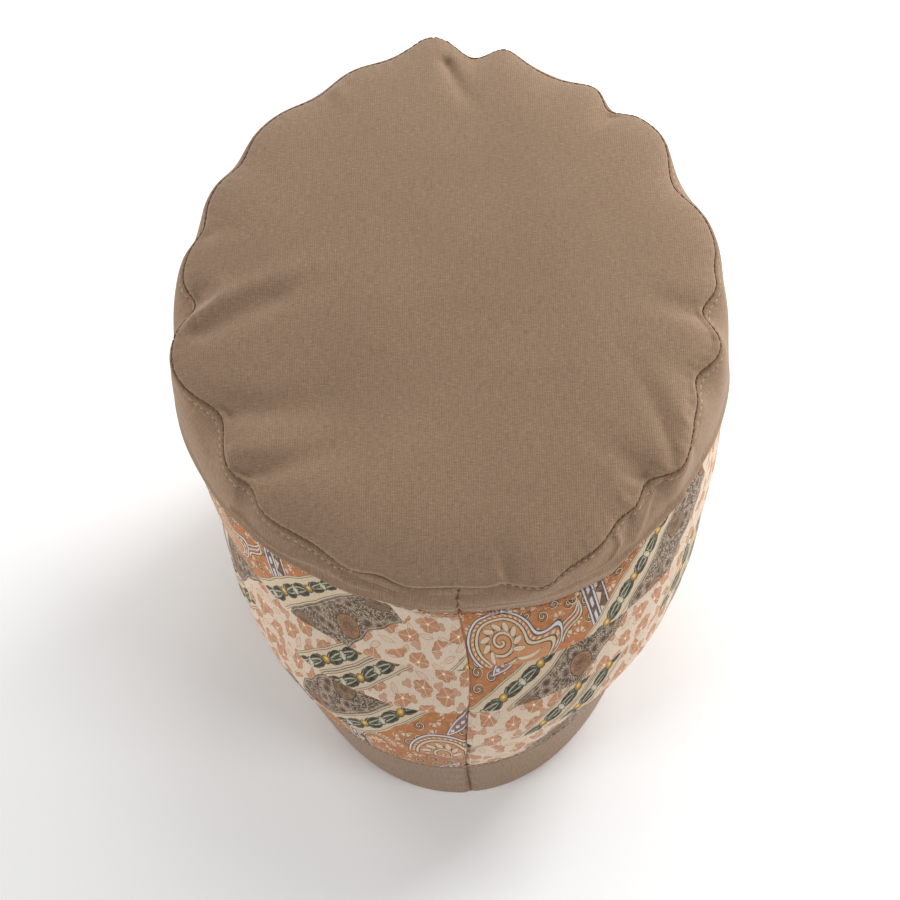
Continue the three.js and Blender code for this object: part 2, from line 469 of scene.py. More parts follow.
def lay_mesh(name: str, points: Array, quads: Array, triangles: Array | None = None) -> Piece:
    """Makes a smooth shaded object in the scene from arrays.

    Args:
        name: The object's name.
        points: The vertices, in millimetres.
        quads: Four vertex numbers a face.
        triangles: Three vertex numbers a face.

    Returns:
        The object, at the origin with its place in its mesh.
    """
    triangles = np.zeros((0, 3), int) if triangles is None else triangles
    mesh = bpy.data.meshes.new(name)
    mesh.vertices.add(len(points))
    mesh.vertices.foreach_set("co", (points * MM).astype(np.float32).ravel())
    corners = np.concatenate([quads.ravel(), triangles.ravel()]).astype(np.int32)
    starts = [np.arange(len(quads)) * 4, quads.size + np.arange(len(triangles)) * 3]
    mesh.loops.add(len(corners))
    mesh.loops.foreach_set("vertex_index", corners)
    mesh.polygons.add(len(quads) + len(triangles))
    mesh.polygons.foreach_set("loop_start", np.concatenate(starts).astype(np.int32))
    mesh.polygons.foreach_set("use_smooth", np.ones(len(mesh.polygons), bool))
    mesh.update(calc_edges=True)
    mesh.validate()
    piece = bpy.data.objects.new(name, mesh)
    bpy.context.scene.collection.objects.link(piece)
    return piece


class Wire:
    """A number that a node's socket carries, with the operators that add Math nodes."""

    def __init__(self, recipe: "Recipe", socket: Socket) -> None:
        """Keeps the socket and the recipe that it belongs to."""
        self.recipe = recipe
        self.socket = socket

    def math(self, operation: str, *others: "Wire | float") -> "Wire":
        """The result of a Math node on this number and others."""
        return self.recipe.math(operation, self, *others)

    def __add__(self, other: "Wire | float") -> "Wire":
        """This plus other."""
        return self.math("ADD", other)

    def __sub__(self, other: "Wire | float") -> "Wire":
        """This minus other."""
        return self.math("SUBTRACT", other)

    def __rsub__(self, other: "Wire | float") -> "Wire":
        """Other minus this."""
        return self.recipe.math("SUBTRACT", other, self)

    def __mul__(self, other: "Wire | float") -> "Wire":
        """This times other."""
        return self.math("MULTIPLY", other)

    __radd__, __rmul__ = __add__, __mul__

    def __truediv__(self, other: "Wire | float") -> "Wire":
        """This over other."""
        return self.math("DIVIDE", other)

    def __neg__(self) -> "Wire":
        """Minus this."""
        return self * -1.0

    def __abs__(self) -> "Wire":
        """The size of this."""
        return self.math("ABSOLUTE")

    def sine(self) -> "Wire":
        """The sine of this, in radians."""
        return self.math("SINE")

    def cosine(self) -> "Wire":
        """The cosine of this, in radians."""
        return self.math("COSINE")

    def whole(self) -> "Wire":
        """The whole number below this."""
        return self.math("FLOOR")

    def steps(self, size: float, shift: float = 0.0) -> "Wire":
        """How many whole steps of a size lie below this, moved on by a share of a step."""
        count = self * (1 / size)
        return (count + shift if shift else count).whole()

    def rise(self, low: float, high: float) -> "Wire":
        """0 where this is under low, 1 where it is over high, and straight between them."""
        ends = {"Value": self, "From Min": low, "From Max": high}
        return Wire(self.recipe, self.recipe.node("ShaderNodeMapRange", {}, ends).outputs[0])

    def fall(self, low: float, high: float) -> "Wire":
        """1 where this is under low, 0 where it is over high, and straight between them."""
        return self.rise(high, low)

    def teeth(self, turns: float, low: float = 0.45, high: float = 0.75) -> "Wire":
        """1 in each of a number of even teeth for each half turn of this angle, 0 between them."""
        return abs((self * turns).sine()).rise(low, high)


@dataclass(frozen=True)
class Tone:
    """A colour as a screen shows it, each part from 0 to 255."""

    red: int
    green: int
    blue: int

    def light(self) -> tuple[float, float, float, float]:
        """The colour as amounts of light by the sRGB curve, with full cover as its fourth number.

        Returns:
            Red, green, blue and cover, from 0 to 1.
        """
        parts = (value / 255 for value in (self.red, self.green, self.blue))
        lit = (p / 12.92 if p <= 0.04045 else ((p + 0.055) / 1.055) ** 2.4 for p in parts)
        return (*lit, 1.0)


Paint = Tone | Socket


@dataclass(frozen=True)
class Spot:
    """A place on the cloth in a motif's own millimetres."""

    x: Wire
    y: Wire

    def moved(self, x: float | Wire, y: float | Wire) -> "Spot":
        """The place from a new middle at x and y."""
        return Spot(self.x - x, self.y - y)

    def turned(self, degrees: float) -> "Spot":
        """The place in axes turned by an angle in degrees."""
        c, s = math.cos(math.radians(degrees)), math.sin(math.radians(degrees))
        return Spot(self.x * c + self.y * s, self.y * c - self.x * s)

    def spun(self, share: Wire) -> "Spot":
        """The place in axes turned by a share of a whole turn.

        Args:
            share: The share, from 0 to 1.

        Returns:
            The place.
        """
        angle = share * (2 * math.pi)
        c, s = angle.cosine(), angle.sine()
        return Spot(self.x * c + self.y * s, self.y * c - self.x * s)

    def reach(self) -> Wire:
        """The distance from the middle."""
        return (self.x * self.x + self.y * self.y).math("SQRT")

    def angle(self) -> Wire:
        """The angle round the middle, in radians."""
        return self.y.math("ARCTAN2", self.x)

    def leaf(self, length: float, width: float) -> Wire:
        """How far inside a leaf of a half length and width the place is, its edges two parabolas."""
        share = self.x * (1 / length)
        return (1 - share * share) * width - abs(self.y)


def coil(reach: Wire, angle: Wire, gap: float) -> Wire:
    """The distance from the nearest turn of a spiral whose turns are a gap apart, with a sign."""
    turn = reach * (1 / gap) - angle * (1 / (2 * math.pi)) + 10.0
    return (turn - turn.whole() - 0.5) * gap


class Recipe:
    """The node tree of one material, filled in by expressions."""

    def __init__(self, name: str) -> None:
        """Starts an empty material.

        Args:
            name: The material's name.
        """
        self.material = bpy.data.materials.new(name)
        self.material.use_nodes = True
        self.tree = self.material.node_tree
        self.tree.nodes.clear()

    def node(self, kind: str, settings: dict, inputs: dict) -> bpy.types.Node:
        """Adds a node of any kind.

        Args:
            kind: The node's type name.
            settings: Its properties by name, set first.
            inputs: Values, tones, wires or sockets by the names of its shown inputs.

        Returns:
            The node.
        """
        node = self.tree.nodes.new(kind)
        for key, value in settings.items():
            setattr(node, key, value)
        for key, value in inputs.items():
            self.feed(next(s for s in node.inputs if s.enabled and s.name == key), value)
        return node

    def feed(self, socket: Socket, value: object) -> None:
        """Gives an input its value.

        Args:
            socket: The input.
            value: A wire or a socket that is linked, or a tone or a number that is set.
        """
        if isinstance(value, Wire):
            value = value.socket
        if isinstance(value, Socket):
            self.tree.links.new(value, socket)
        else:
            socket.default_value = value.light() if isinstance(value, Tone) else value

    def math(self, operation: str, *values: Wire | float) -> Wire:
        """A Math node.

        Args:
            operation: The node's operation.
            values: Up to three values.

        Returns:
            The result.
        """
        node = self.tree.nodes.new("ShaderNodeMath")
        node.operation = operation
        for socket, value in zip(node.inputs, values):
            self.feed(socket, value)
        return Wire(self, node.outputs[0])

    def blend(self, share: Wire | float, under: Paint, over: Paint) -> Socket:
        """One colour laid over another.

        Args:
            share: How much of the upper colour shows, from 0 to 1.
            under: The lower colour.
            over: The upper colour.

        Returns:
            The colour.
        """
        inputs = {"Factor": share, "A": under, "B": over}
        node = self.node("ShaderNodeMix", {"data_type": "RGBA"}, inputs)
        return next(s for s in node.outputs if s.enabled)

    def vector(self, x: Wire | float, y: Wire | float, z: Wire | float = 0.0) -> Socket:
        """A vector of three numbers."""
        return self.node("ShaderNodeCombineXYZ", {}, {"X": x, "Y": y, "Z": z}).outputs[0]

    def parts(self, vector: Socket) -> list[Wire]:
        """The three numbers of a vector."""
        node = self.node("ShaderNodeSeparateXYZ", {}, {"Vector": vector})
        return [Wire(self, socket) for socket in node.outputs]

    def cloth(self) -> Spot:
        """Millimetres along and up the cloth, from the piece's own UV map."""
        along, up, _ = self.parts(self.node("ShaderNodeUVMap", {"uv_map": CLOTH_MAP}, {}).outputs[0])
        return Spot(along, up)

    def noise(self, spot: Spot, size: Span, seed: float = 0.0, detail: float = 2.0) -> Wire:
        """Soft random relief from 0 to 1 around 0.5.

        Args:
            spot: The place.
            size: The grain's size along and up, in millimetres.
            seed: A shift that gives another pattern.
            detail: How many finer layers are added.

        Returns:
            The relief.
        """
        place = self.vector(spot.x * (1 / size[0]), spot.y * (1 / size[1]), seed)
        inputs = {"Vector": place, "Scale": 1.0, "Detail": detail}
        return Wire(self, self.node("ShaderNodeTexNoise", {}, inputs).outputs[0])

    def scatter(
        self, spot: Spot, number: Wire, cell: Span, jitter: float, seed: float
    ) -> tuple[Spot, list[Wire]]:
        """The nearest of many scattered motifs, one to a cell, each second row half a cell along.

        Args:
            spot: The place.
            number: A number that gives each stripe its own draw.
            cell: The cell's size along and across.
            jitter: How far a motif may stray, in millimetres.
            seed: Seed of the draw.

        Returns:
            The place from the motif's middle, turned by chance, and three random numbers.
        """
        first_row, stripes_apart = 8.0, 17.0
        row = spot.y.steps(cell[1], first_row)
        shifted = spot.x * (1 / cell[0]) + row * 0.5
        column = shifted.whole()
        inputs = {"Vector": self.vector(column, row + number * stripes_apart, seed)}
        chances = self.parts(self.node("ShaderNodeTexWhiteNoise", {}, inputs).outputs[1])
        x = (shifted - column - 0.5) * cell[0] + (chances[0] - 0.5) * jitter
        y = spot.y + (first_row - 0.5 - row) * cell[1] + (chances[1] - 0.5) * jitter
        return Spot(x, y).spun(chances[2]), chances

    def close(self, colour: Paint, roughness: float, relief: Wire, depth: float, fuzz: float) -> None:
        """Ends the recipe in one cloth shader.

        Args:
            colour: The cloth's colour.
            roughness: Its roughness.
            relief: Its relief from 0 to 1.
            depth: How deep the relief is, in millimetres.
            fuzz: How much light its fibre ends catch.
        """
        bump = self.node("ShaderNodeBump", {}, {"Height": relief, "Distance": depth * MM, "Strength": 1.0})
        looks = {
            "Base Color": colour,
            "Roughness": roughness,
            "Sheen Weight": fuzz,
            "Sheen Roughness": 0.5,
            "Specular IOR Level": 0.25,
            "Normal": bump.outputs[0],
        }
        shader = self.node("ShaderNodeBsdfPrincipled", {}, looks)
        self.node("ShaderNodeOutputMaterial", {}, {"Surface": shader.outputs[0]})


@dataclass(frozen=True)
class Knit:
    """The jersey's stitches: how far apart its wales and courses are, in millimetres, how deep it
    looks between them, and how far a stitch slants across its wale, in radians."""

    wale: float = 0.84
    course: float = 0.62
    depth: float = 0.08
    slant: float = 2.2

    def relief(self, cloth: Spot) -> Wire:
        """Rounded wales cut by slanting stitches: the size of the sine along, and the sine up with
        a slant that changes sides with each wale.

        Args:
            cloth: The place on the cloth.

        Returns:
            The relief, from about 0 to 1.
        """
        wale = abs((cloth.x * (math.pi / self.wale)).sine())
        loop = (cloth.y * (2 * math.pi / self.course) + wale * self.slant).sine()
        return wale * 0.74 + loop * 0.08 + 0.18


@dataclass(frozen=True)
class PlainJersey:
    """Heathered jersey in one colour: a knit with painted shade between wales, short streaks, soft patches.
    """

    name: str
    tone: Tone = Tone(147, 121, 97)
    shade: Tone = Tone(117, 93, 73)
    fleck: Tone = Tone(174, 149, 122)
    # How strong the painted shade in the grooves between wales is, from 0 to 1.
    wale_shade: float = 0.17
    streak: Span = (2.6, 0.5)
    knit: Knit = Knit()

    def material(self) -> Material:
        """The jersey: the tone, darkened by painted shade in the grooves between wales and in random
        streaks and patches, and lightened by short flecks. Each layer has a grain's size, a seed, the
        relief where it starts and is full, a share and a tone.

        Returns:
            The material.
        """
        recipe = Recipe(self.name)
        cloth = recipe.cloth()
        drift = recipe.noise(cloth, (7, 7), 3.0, 1.0) * 0.9
        relief = self.knit.relief(Spot(cloth.x + drift, cloth.y))
        # Painted shade: the tone darkens towards the shade tone in the grooves between wales.
        colour = recipe.blend(relief.fall(0.15, 0.75) * self.wale_shade, self.tone, self.shade)
        layers = (
            (self.streak, 1.0, (0.48, 0.66), 0.42, self.shade),
            ((0.5, 5), 7.0, (0.5, 0.68), 0.4, self.shade),
            ((2.2, 0.45), 5.0, (0.54, 0.68), 0.42, self.fleck),
            ((0.6, 0.6), 6.0, (0.52, 0.7), 0.3, self.shade),
            ((42, 30), 9.0, (0.4, 0.75), 0.14, self.shade),
        )
        for size, seed, (low, high), share, tone in layers:
            colour = recipe.blend(recipe.noise(cloth, size, seed).rise(low, high) * share, colour, tone)
        recipe.close(colour, 0.92, relief, self.knit.depth, 0.16)
        return recipe.material


@dataclass(frozen=True)
class Thread:
    """Twisted sewing thread, whose plies are a length apart in millimetres."""

    name: str
    tone: Tone
    shade: Tone
    ply: float = 0.35

    def material(self) -> Material:
        """The thread in two tones, in fine slanting bands of its plies.

        Returns:
            The material.
        """
        recipe = Recipe(self.name)
        x, y, z = recipe.parts(recipe.node("ShaderNodeTexCoord", {}, {}).outputs["Object"])
        ply = ((x + y * 0.7 + z * 1.3) * (2 * math.pi / (self.ply * MM))).sine() * 0.5 + 0.5
        recipe.close(recipe.blend(ply * 0.6, self.tone, self.shade), 0.7, ply, 0.05, 0.1)
        return recipe.material


class Canvas:
    """A colour that motifs are painted on, within a mask."""

    ink = Tone(62, 54, 44)

    def __init__(self, recipe: Recipe, ground: Tone) -> None:
        """Starts a canvas.

        Args:
            recipe: The recipe that the canvas adds nodes to.
            ground: The tone under every motif.
        """
        self.recipe = recipe
        self.mask: Wire | float = 1.0
        self.colour: Paint = recipe.blend(0.0, ground, ground)

    def paint(self, share: Wire | float, tone: Tone) -> None:
        """Lays a tone over the canvas by a share from 0 to 1."""
        self.colour = self.recipe.blend(self.mask * share, self.colour, tone)

    def fill(self, inside: Wire, tone: Tone, soft: float = 0.15) -> None:
        """Lays a tone where a depth inside a shape is over 0."""
        self.paint(inside.rise(0.0, soft), tone)

    def outlined(self, inside: Wire, tone: Tone, edge: float) -> None:
        """Lays a tone where a depth is over 0, with an ink edge round it."""
        self.fill(inside + edge, self.ink)
        self.fill(inside, tone)

    def cord(self, distance: Wire, width: float, tone: Tone, share: Wire | float = 1.0) -> None:
        """Lays a line with an ink edge on each side.

        Args:
            distance: The distance from the line.
            width: The line's width.
            tone: Its tone.
            share: How much of it shows.
        """
        size = abs(distance)
        self.paint(size.fall(width / 2 + 0.24, width / 2 + 0.46) * share, self.ink)
        self.paint(size.fall(width / 2 - 0.1, width / 2 + 0.06) * share, tone)

    def line(self, distance: Wire, width: float, tone: Tone, share: Wire | float = 1.0) -> None:
        """Lays a plain line where a distance is near 0."""
        self.paint(abs(distance).fall(width / 2 - 0.06, width / 2 + 0.1) * share, tone)


@dataclass(frozen=True)
class Stretch:
    """Where a point lies in the stripes of one motif: along and across from the stripe's middle,
    its half width, and the stripe's number."""

    spot: Spot
    half: Wire
    number: Wire


@dataclass(frozen=True)
class PrintedJersey:
    """Jersey printed with slanting stripes of paisley, vine, fern and flowers. Gaps and cells say,
    in millimetres, how often a motif comes back along its stripe."""

    name: str = "printed_jersey"
    slant: float = 38.0
    start: float = -62.0
    stripes: tuple[Stripe, ...] = PRINT
    knit: Knit = Knit()
    twin_vines: float = 106.5
    flower_edge: float = 33.0
    flower_cell: Span = (10.0, 8.8)
    leaf_cell: Span = (6.2, 5.8)
    fern_patch: float = 60.4
    fern_start: float = 82.0
    spray_cell: float = 5.6
    medallion_gap: float = 22.0
    vine_gap: float = 17.6
    sprig_cell: Span = (6.2, 5.6)
    paisley_gap: float = 87.2
    paisley_start: float = -62.5
    cream: Tone = Tone(203, 185, 165)
    ecru: Tone = Tone(198, 179, 152)
    line: Tone = Tone(98, 92, 78)
    edge: Tone = Tone(84, 74, 62)
    coral: Tone = Tone(180, 132, 100)
    rust: Tone = Tone(160, 108, 76)
    pale: Tone = Tone(218, 182, 152)
    umber: Tone = Tone(78, 63, 52)
    frond: Tone = Tone(174, 157, 137)
    bark: Tone = Tone(92, 68, 50)
    orange: Tone = Tone(174, 113, 67)
    bone: Tone = Tone(202, 182, 155)
    lavender: Tone = Tone(198, 194, 200)

    def material(self) -> Material:
        """The print. A point's place across the stripes picks its stripe, and each motif is drawn in
        the stripe's own millimetres, one colour over the last. The stripes' edges wave, most where
        flowers and ferns meet, at a distance to each side of the place where two vines do. Over it
        all go random blotches and painted shade in the grooves between wales.

        Returns:
            The material.
        """
        recipe = Recipe(self.name)
        cloth = recipe.cloth()
        spot = cloth.turned(self.slant)
        across = -spot.y - self.start
        wave = (spot.x * (2 * math.pi / 27)).sine() + (spot.x * (2 * math.pi / 10.5) + 1.0).sine() * 0.45
        period = sum(stripe.width for stripe in self.stripes)
        turns = across.steps(period)
        within = across - turns * period
        from_edge = abs(abs(within - self.twin_vines) - self.flower_edge)
        within = within + wave * (from_edge.fall(3.0, 12.0) * 0.6 + 0.25)
        canvas = Canvas(recipe, self.cream)
        drawers = (
            (Motif.FLOWERS, self.draw_flowers),
            (Motif.FERN, self.draw_fern),
            (Motif.VINE, self.draw_vine),
            (Motif.PAISLEY, self.draw_paisley),
        )
        for motif, draw in drawers:
            canvas.mask, side, half, number = self.place_in(motif, within)
            draw(canvas, Stretch(Spot(spot.x, side), half, number + turns * len(self.stripes)))
        canvas.mask = 1.0
        canvas.paint(recipe.noise(cloth, (2.2, 1.4), 11.0, 3.0).rise(0.45, 0.8) * 0.25, self.cream)
        canvas.paint(recipe.noise(cloth, (1.1, 1.1), 12.0, 1.0).rise(0.5, 0.8) * 0.2, Tone(120, 96, 76))
        relief = self.knit.relief(cloth)
        # Painted shade: the print darkens in the grooves between wales.
        canvas.paint(relief.fall(0.1, 0.6) * 0.16, Tone(126, 102, 82))
        recipe.close(canvas.colour, 0.9, relief, self.knit.depth, 0.1)
        return recipe.material

    def place_in(self, motif: Motif, within: Wire) -> tuple[Wire, Wire, Wire, Wire]:
        """Where the stripes of one motif are.

        Args:
            motif: The motif.
            within: Place across the repeat, in millimetres.

        Returns:
            1 inside the motif's stripes and 0 elsewhere, the place across the stripe from its
            middle, its half width, and its number in the repeat.
        """
        totals: list[Wire | float] = [0.0, 0.0, 0.0, 0.0]
        low = 0.0
        for index, stripe in enumerate(self.stripes):
            half = stripe.width / 2
            middle = low + half
            if stripe.motif is motif:
                inside = abs(within - middle).math("LESS_THAN", half)
                parts = (inside, inside * (within - middle), inside * half, inside * float(index))
                totals = [part + total for part, total in zip(parts, totals)]
            low += stripe.width
        return tuple(totals)

    def draw_flowers(self, canvas: Canvas, at: Stretch) -> None:
        """Coral flower heads on cream, whole or as fans, among pale outlined leaves and buds.

        Args:
            canvas: The canvas, masked to the flower stripes.
            at: The place in them.
        """
        recipe, spot = canvas.recipe, at.spot
        canvas.paint(recipe.noise(spot, (7, 7), 2.0).rise(0.4, 0.8) * 0.4, Tone(208, 186, 166))
        small, chance = recipe.scatter(spot.moved(2.0, 1.0), at.number, self.leaf_cell, 2.2, 4.0)
        leaf = small.leaf(2.8, 1.0)
        is_leaf = chance[1].rise(0.52, 0.54)
        canvas.line(leaf, 0.3, self.coral, is_leaf * 0.75)
        canvas.line(small.y, 0.2, self.coral, leaf.rise(0.0, 0.2) * is_leaf * 0.6)
        bud = abs((small.angle() * 1.5).cosine()) * 0.9 + 1.2 - small.reach()
        is_bud = bud.rise(0.0, 0.2) * (1 - is_leaf)
        canvas.paint(is_bud * 0.8, self.coral)
        canvas.paint(is_bud * bud.fall(0.2, 0.5) * 0.5, self.rust)
        head, chance = recipe.scatter(spot, at.number, self.flower_cell, 2.4, 8.0)
        head = Spot(head.x, head.y * (chance[0] * 0.5 + 0.9))
        reach, angle = head.reach(), head.angle()
        petals = abs((angle * 2.5).cosine()).math("POWER", 0.6)
        inside = (chance[1] + 3.7) * (petals * 0.24 + 0.78) - reach
        fan = (head.x + chance[0] * 5.0 - 0.9).rise(0.0, 0.25)
        whole = inside.rise(0.0, 0.18) * fan
        canvas.paint(whole, self.coral)
        canvas.paint(whole * recipe.noise(head, (1.5, 1.5), 5.0, 1.0).rise(0.45, 0.7) * 0.35, self.rust)
        canvas.paint(whole * inside.fall(0.25, 0.7) * 0.85, self.rust)
        canvas.paint(whole * angle.teeth(12.5, 0.75, 0.95) * reach.rise(0.8, 2.2) * 0.4, self.rust)
        canvas.paint(whole * (abs((angle * 2.5).sine()) * reach).fall(0.18, 0.4), self.pale)
        canvas.paint(whole * reach.fall(0.4, 0.7), Tone(236, 214, 188))

    def draw_fern(self, canvas: Canvas, at: Stretch) -> None:
        """Patches of dark brown, blunt at one end and drawn out at the other, with light feathered
        sprays, one to a Voronoi cell, and round medallions.

        Args:
            canvas: The canvas, masked to the fern stripes.
            at: The place in them.
        """
        recipe, spot = canvas.recipe, at.spot
        from_start = spot.x - self.fern_start
        before = from_start.steps(self.fern_patch, 0.5) * self.fern_patch - spot.x + self.fern_start
        share = before.rise(0.2, 2.5).math("MAXIMUM", (-before).rise(1.0, 9.0).math("POWER", 0.5))
        inset = at.half * share - abs(spot.y)
        canvas.mask = canvas.mask * inset.rise(0.0, 0.2)
        canvas.paint(1.0, self.umber)
        fronds = recipe.noise(spot, (2.0, 2.0), 3.0, 2.0)
        canvas.paint(abs(fronds - 0.5).fall(0.018, 0.034) * 0.85, self.frond)
        canvas.paint(recipe.noise(spot, (0.6, 0.6), 7.0, 0.0).rise(0.58, 0.66) * 0.55, Tone(170, 150, 128))
        cell = self.spray_cell
        inputs = {"Vector": recipe.vector(spot.x * (1 / cell), spot.y * (1 / cell)), "Scale": 1.0}
        nearest = recipe.node("ShaderNodeTexVoronoi", {"voronoi_dimensions": "2D"}, inputs)
        middle_x, middle_y, _ = recipe.parts(nearest.outputs["Position"])
        spray = spot.moved(middle_x * cell, middle_y * cell)
        reach = spray.reach()
        angle = spray.angle() + reach * 0.3 + middle_x * 9.0
        chosen = (middle_x * 7.3 + middle_y * 4.1).sine().rise(-0.3, -0.1)
        canvas.paint(reach.fall(2.6, 3.0) * chosen, self.umber)
        rays = angle.teeth(6.5, 0.3, 0.6) * reach.rise(0.7, 1.2) * reach.fall(2.6, 3.2)
        canvas.paint(rays * chosen * 0.9, self.frond)
        star = abs((angle * 6.5).sine()) * 1.5 + 0.5 - reach
        canvas.paint(star.rise(0.0, 0.2) * chosen * 0.7, Tone(84, 54, 45))
        canvas.line(inset - 0.8, 0.25, self.frond, 0.8)
        canvas.paint(inset.fall(0.3, 0.55), self.edge)
        self.draw_medallions(canvas, spot)

    def draw_medallions(self, canvas: Canvas, spot: Spot) -> None:
        """Round medallions with a lobed heart, in turn above and below the stripe's middle.

        Args:
            canvas: The canvas, masked to the fern patches.
            spot: The place in them.
        """
        index = spot.x.steps(self.medallion_gap)
        odd = index.math("FLOORED_MODULO", 2.0)
        disc = spot.moved(index * self.medallion_gap + self.medallion_gap / 2, odd * -5.0 + 2.5)
        reach, angle = disc.reach(), disc.angle()
        canvas.fill(5.0 - reach, self.umber)
        canvas.fill(4.5 - reach, Tone(150, 108, 74))
        canvas.paint(odd * reach.fall(4.3, 4.5), Tone(122, 100, 74))
        grain = canvas.recipe.noise(disc, (0.6, 0.6), 4.0, 1.0).rise(0.46, 0.56)
        heart = abs((angle * 4.5).sine()) * 1.3 + 2.1 - reach
        canvas.paint(grain * reach.fall(3.4, 4.6) * 0.7, self.bark)
        canvas.paint(heart.rise(0.0, 0.2) * 0.75, self.bark)
        canvas.line(abs(heart - 0.7), 0.25, Tone(170, 136, 100), 0.7)

    def draw_vine(self, canvas: Canvas, at: Stretch) -> None:
        """A straight vine on ecru: dark leaves in a chain with pale beads and round berries. Each
        leaf has a middle, an angle, a half length and a half width.

        Args:
            canvas: The canvas, masked to the vine stripes.
            at: The place in them.
        """
        spot, gap = at.spot, self.vine_gap
        body, rib, dark = Tone(73, 78, 65), Tone(176, 176, 152), Tone(38, 40, 33)
        inset = at.half - abs(spot.y)
        shifted = spot.x + at.number * 6.2
        berry = Spot(shifted - shifted.steps(gap, 0.5) * gap, spot.y)
        chain = Spot(abs(berry.x), spot.y)
        canvas.paint(1.0, self.ecru)
        canvas.line(inset - 0.85, 0.24, self.line)
        canvas.paint(inset.fall(0.14, 0.3), self.line)
        leaves = (
            (2.2, 1.3, 40, 1.9, 0.5),
            (2.2, -1.3, -40, 1.9, 0.5),
            (4.9, 1.0, 9, 3.4, 1.5),
            (5.1, -1.0, -9, 3.3, 1.45),
        )
        for x, y, angle, length, width in leaves:
            leaf = chain.moved(x, y).turned(angle)
            inside = leaf.leaf(length, width)
            canvas.outlined(inside, body, 0.3)
            outer = leaf.y if y > 0 else -leaf.y
            canvas.paint(inside.rise(0.05, 0.3) * outer.rise(0.0, 0.5) * 0.9, dark)
            canvas.line(outer + 0.15 + leaf.x * leaf.x * 0.05, 0.42, rib, inside.rise(0.1, 0.3) * 0.9)
            canvas.line(outer + 0.85, 0.2, dark, inside.rise(0.0, 0.2) * 0.8)
        bead = chain.moved(gap / 2, 0.0)
        bead = Spot(bead.x * 1.5, bead.y * 0.85)
        canvas.outlined(1.6 - bead.reach(), Tone(176, 172, 150), 0.35)
        canvas.paint(bead.moved(0.3, 0.4).reach().fall(0.3, 1.0) * 0.8, Tone(216, 212, 192))
        canvas.outlined(1.6 - berry.reach(), Tone(140, 104, 50), 0.35)
        glow = berry.moved(0.3, -0.35).reach()
        canvas.paint(glow.fall(0.8, 1.7), Tone(186, 142, 62))
        canvas.paint(glow.fall(0.1, 0.9), Tone(224, 200, 132))

    def draw_paisley(self, canvas: Canvas, at: Stretch) -> None:
        """Orange with curled drops, half rosettes, sprigs and a banded bar with saw teeth.

        Args:
            canvas: The canvas, masked to the paisley stripe.
            at: The place in it.
        """
        spot, gap = at.spot, self.paisley_gap
        canvas.paint(1.0, self.orange)
        patches = canvas.recipe.noise(spot, (5, 4), 6.0, 3.0)
        canvas.paint(patches.rise(0.42, 0.72) * 0.55, Tone(152, 94, 55))
        self.draw_sprigs(canvas, at)
        shifted = spot.x - self.paisley_start
        local = Spot(shifted - shifted.steps(gap) * gap, spot.y)
        for x, y in ((9.0, -17.0), (80.0, -14.0)):
            self.draw_rosette(canvas, local.moved(x, y))
        self.draw_curl(canvas, local.moved(51.0, 13.0).turned(-22))
        for x, y, angle in ((15.0, 18.0, -8), (79.0, 11.0, -52), (59.0, -2.0, 48), (47.0, -13.0, -10)):
            self.draw_chain(canvas, local.moved(x, y).turned(angle))
        self.draw_drop(canvas, local.moved(29.8, -2.8).turned(150))
        self.draw_bar(canvas, local.x - 70.5 + spot.y * 0.605, spot.y)

    def draw_sprigs(self, canvas: Canvas, at: Stretch) -> None:
        """Scattered small figures: curls, and half tulips of three petals.

        Args:
            canvas: The canvas, masked to the paisley stripe.
            at: The place in it.
        """
        sprig, chance = canvas.recipe.scatter(at.spot, at.number, self.sprig_cell, 1.2, 14.0)
        reach, angle = sprig.reach(), sprig.angle()
        is_curl = chance[1].rise(0.62, 0.64)
        canvas.cord(coil(reach, angle, 1.5), 0.42, self.bone, reach.fall(2.1, 2.2) * is_curl)
        tulip = angle.teeth(3.0, 0.35, 0.6) * reach.rise(0.7, 0.9) * reach.fall(2.3, 2.7)
        canvas.paint(reach.fall(2.8, 3.0) * sprig.x.rise(-0.2, 0.1) * (1 - is_curl), Tone(160, 102, 66))
        canvas.paint(tulip * sprig.x.rise(0.0, 0.3) * (1 - is_curl), self.bone)

    def draw_bar(self, canvas: Canvas, bar: Wire, up: Wire) -> None:
        """A bar across the stripe with a row of beads, lavender cords and a saw edge.

        Args:
            canvas: The canvas, masked to the paisley stripe.
            bar: The distance from the bar's middle.
            up: The place along it.
        """
        saw = (up * (1 / 2.6)).math("PINGPONG", 1.0) * 2.6
        canvas.paint(abs(bar - 4.6).fall(2.4, 2.6), Tone(104, 76, 60))
        canvas.paint((saw + 2.8 - bar).rise(0.0, 0.2) * bar.rise(2.6, 2.8), self.bone)
        canvas.cord(bar - 7.2, 0.7, self.lavender)
        canvas.fill(2.5 - abs(bar), Tone(104, 80, 70))
        beads = (up * (1 / 2.4)).teeth(math.pi / 2, 0.45, 0.7) * abs(bar).fall(0.6, 0.8)
        canvas.paint(beads, self.lavender)
        canvas.cord(abs(bar) - 2.2, 0.9, self.lavender)

    def draw_curl(self, canvas: Canvas, spot: Spot) -> None:
        """A slim leaf, bent along a wave, whose tip curls into a hook.

        Args:
            canvas: The canvas.
            spot: The place from the leaf's middle.
        """
        bend = Spot(spot.x, spot.y - (spot.x * 0.36).sine() * 1.8)
        inside = bend.leaf(8.0, 1.9)
        canvas.outlined(inside, self.orange, 0.2)
        canvas.cord(inside - 0.1, 0.8, self.bone, abs(spot.x).fall(7.6, 8.0))
        hook = spot.moved(8.0, -1.4)
        reach = hook.reach()
        canvas.cord(coil(reach, hook.angle(), 2.0), 0.8, self.bone, reach.fall(2.0, 2.2))
        canvas.line(bend.y, 0.4, self.lavender, inside.rise(0.5, 0.7))

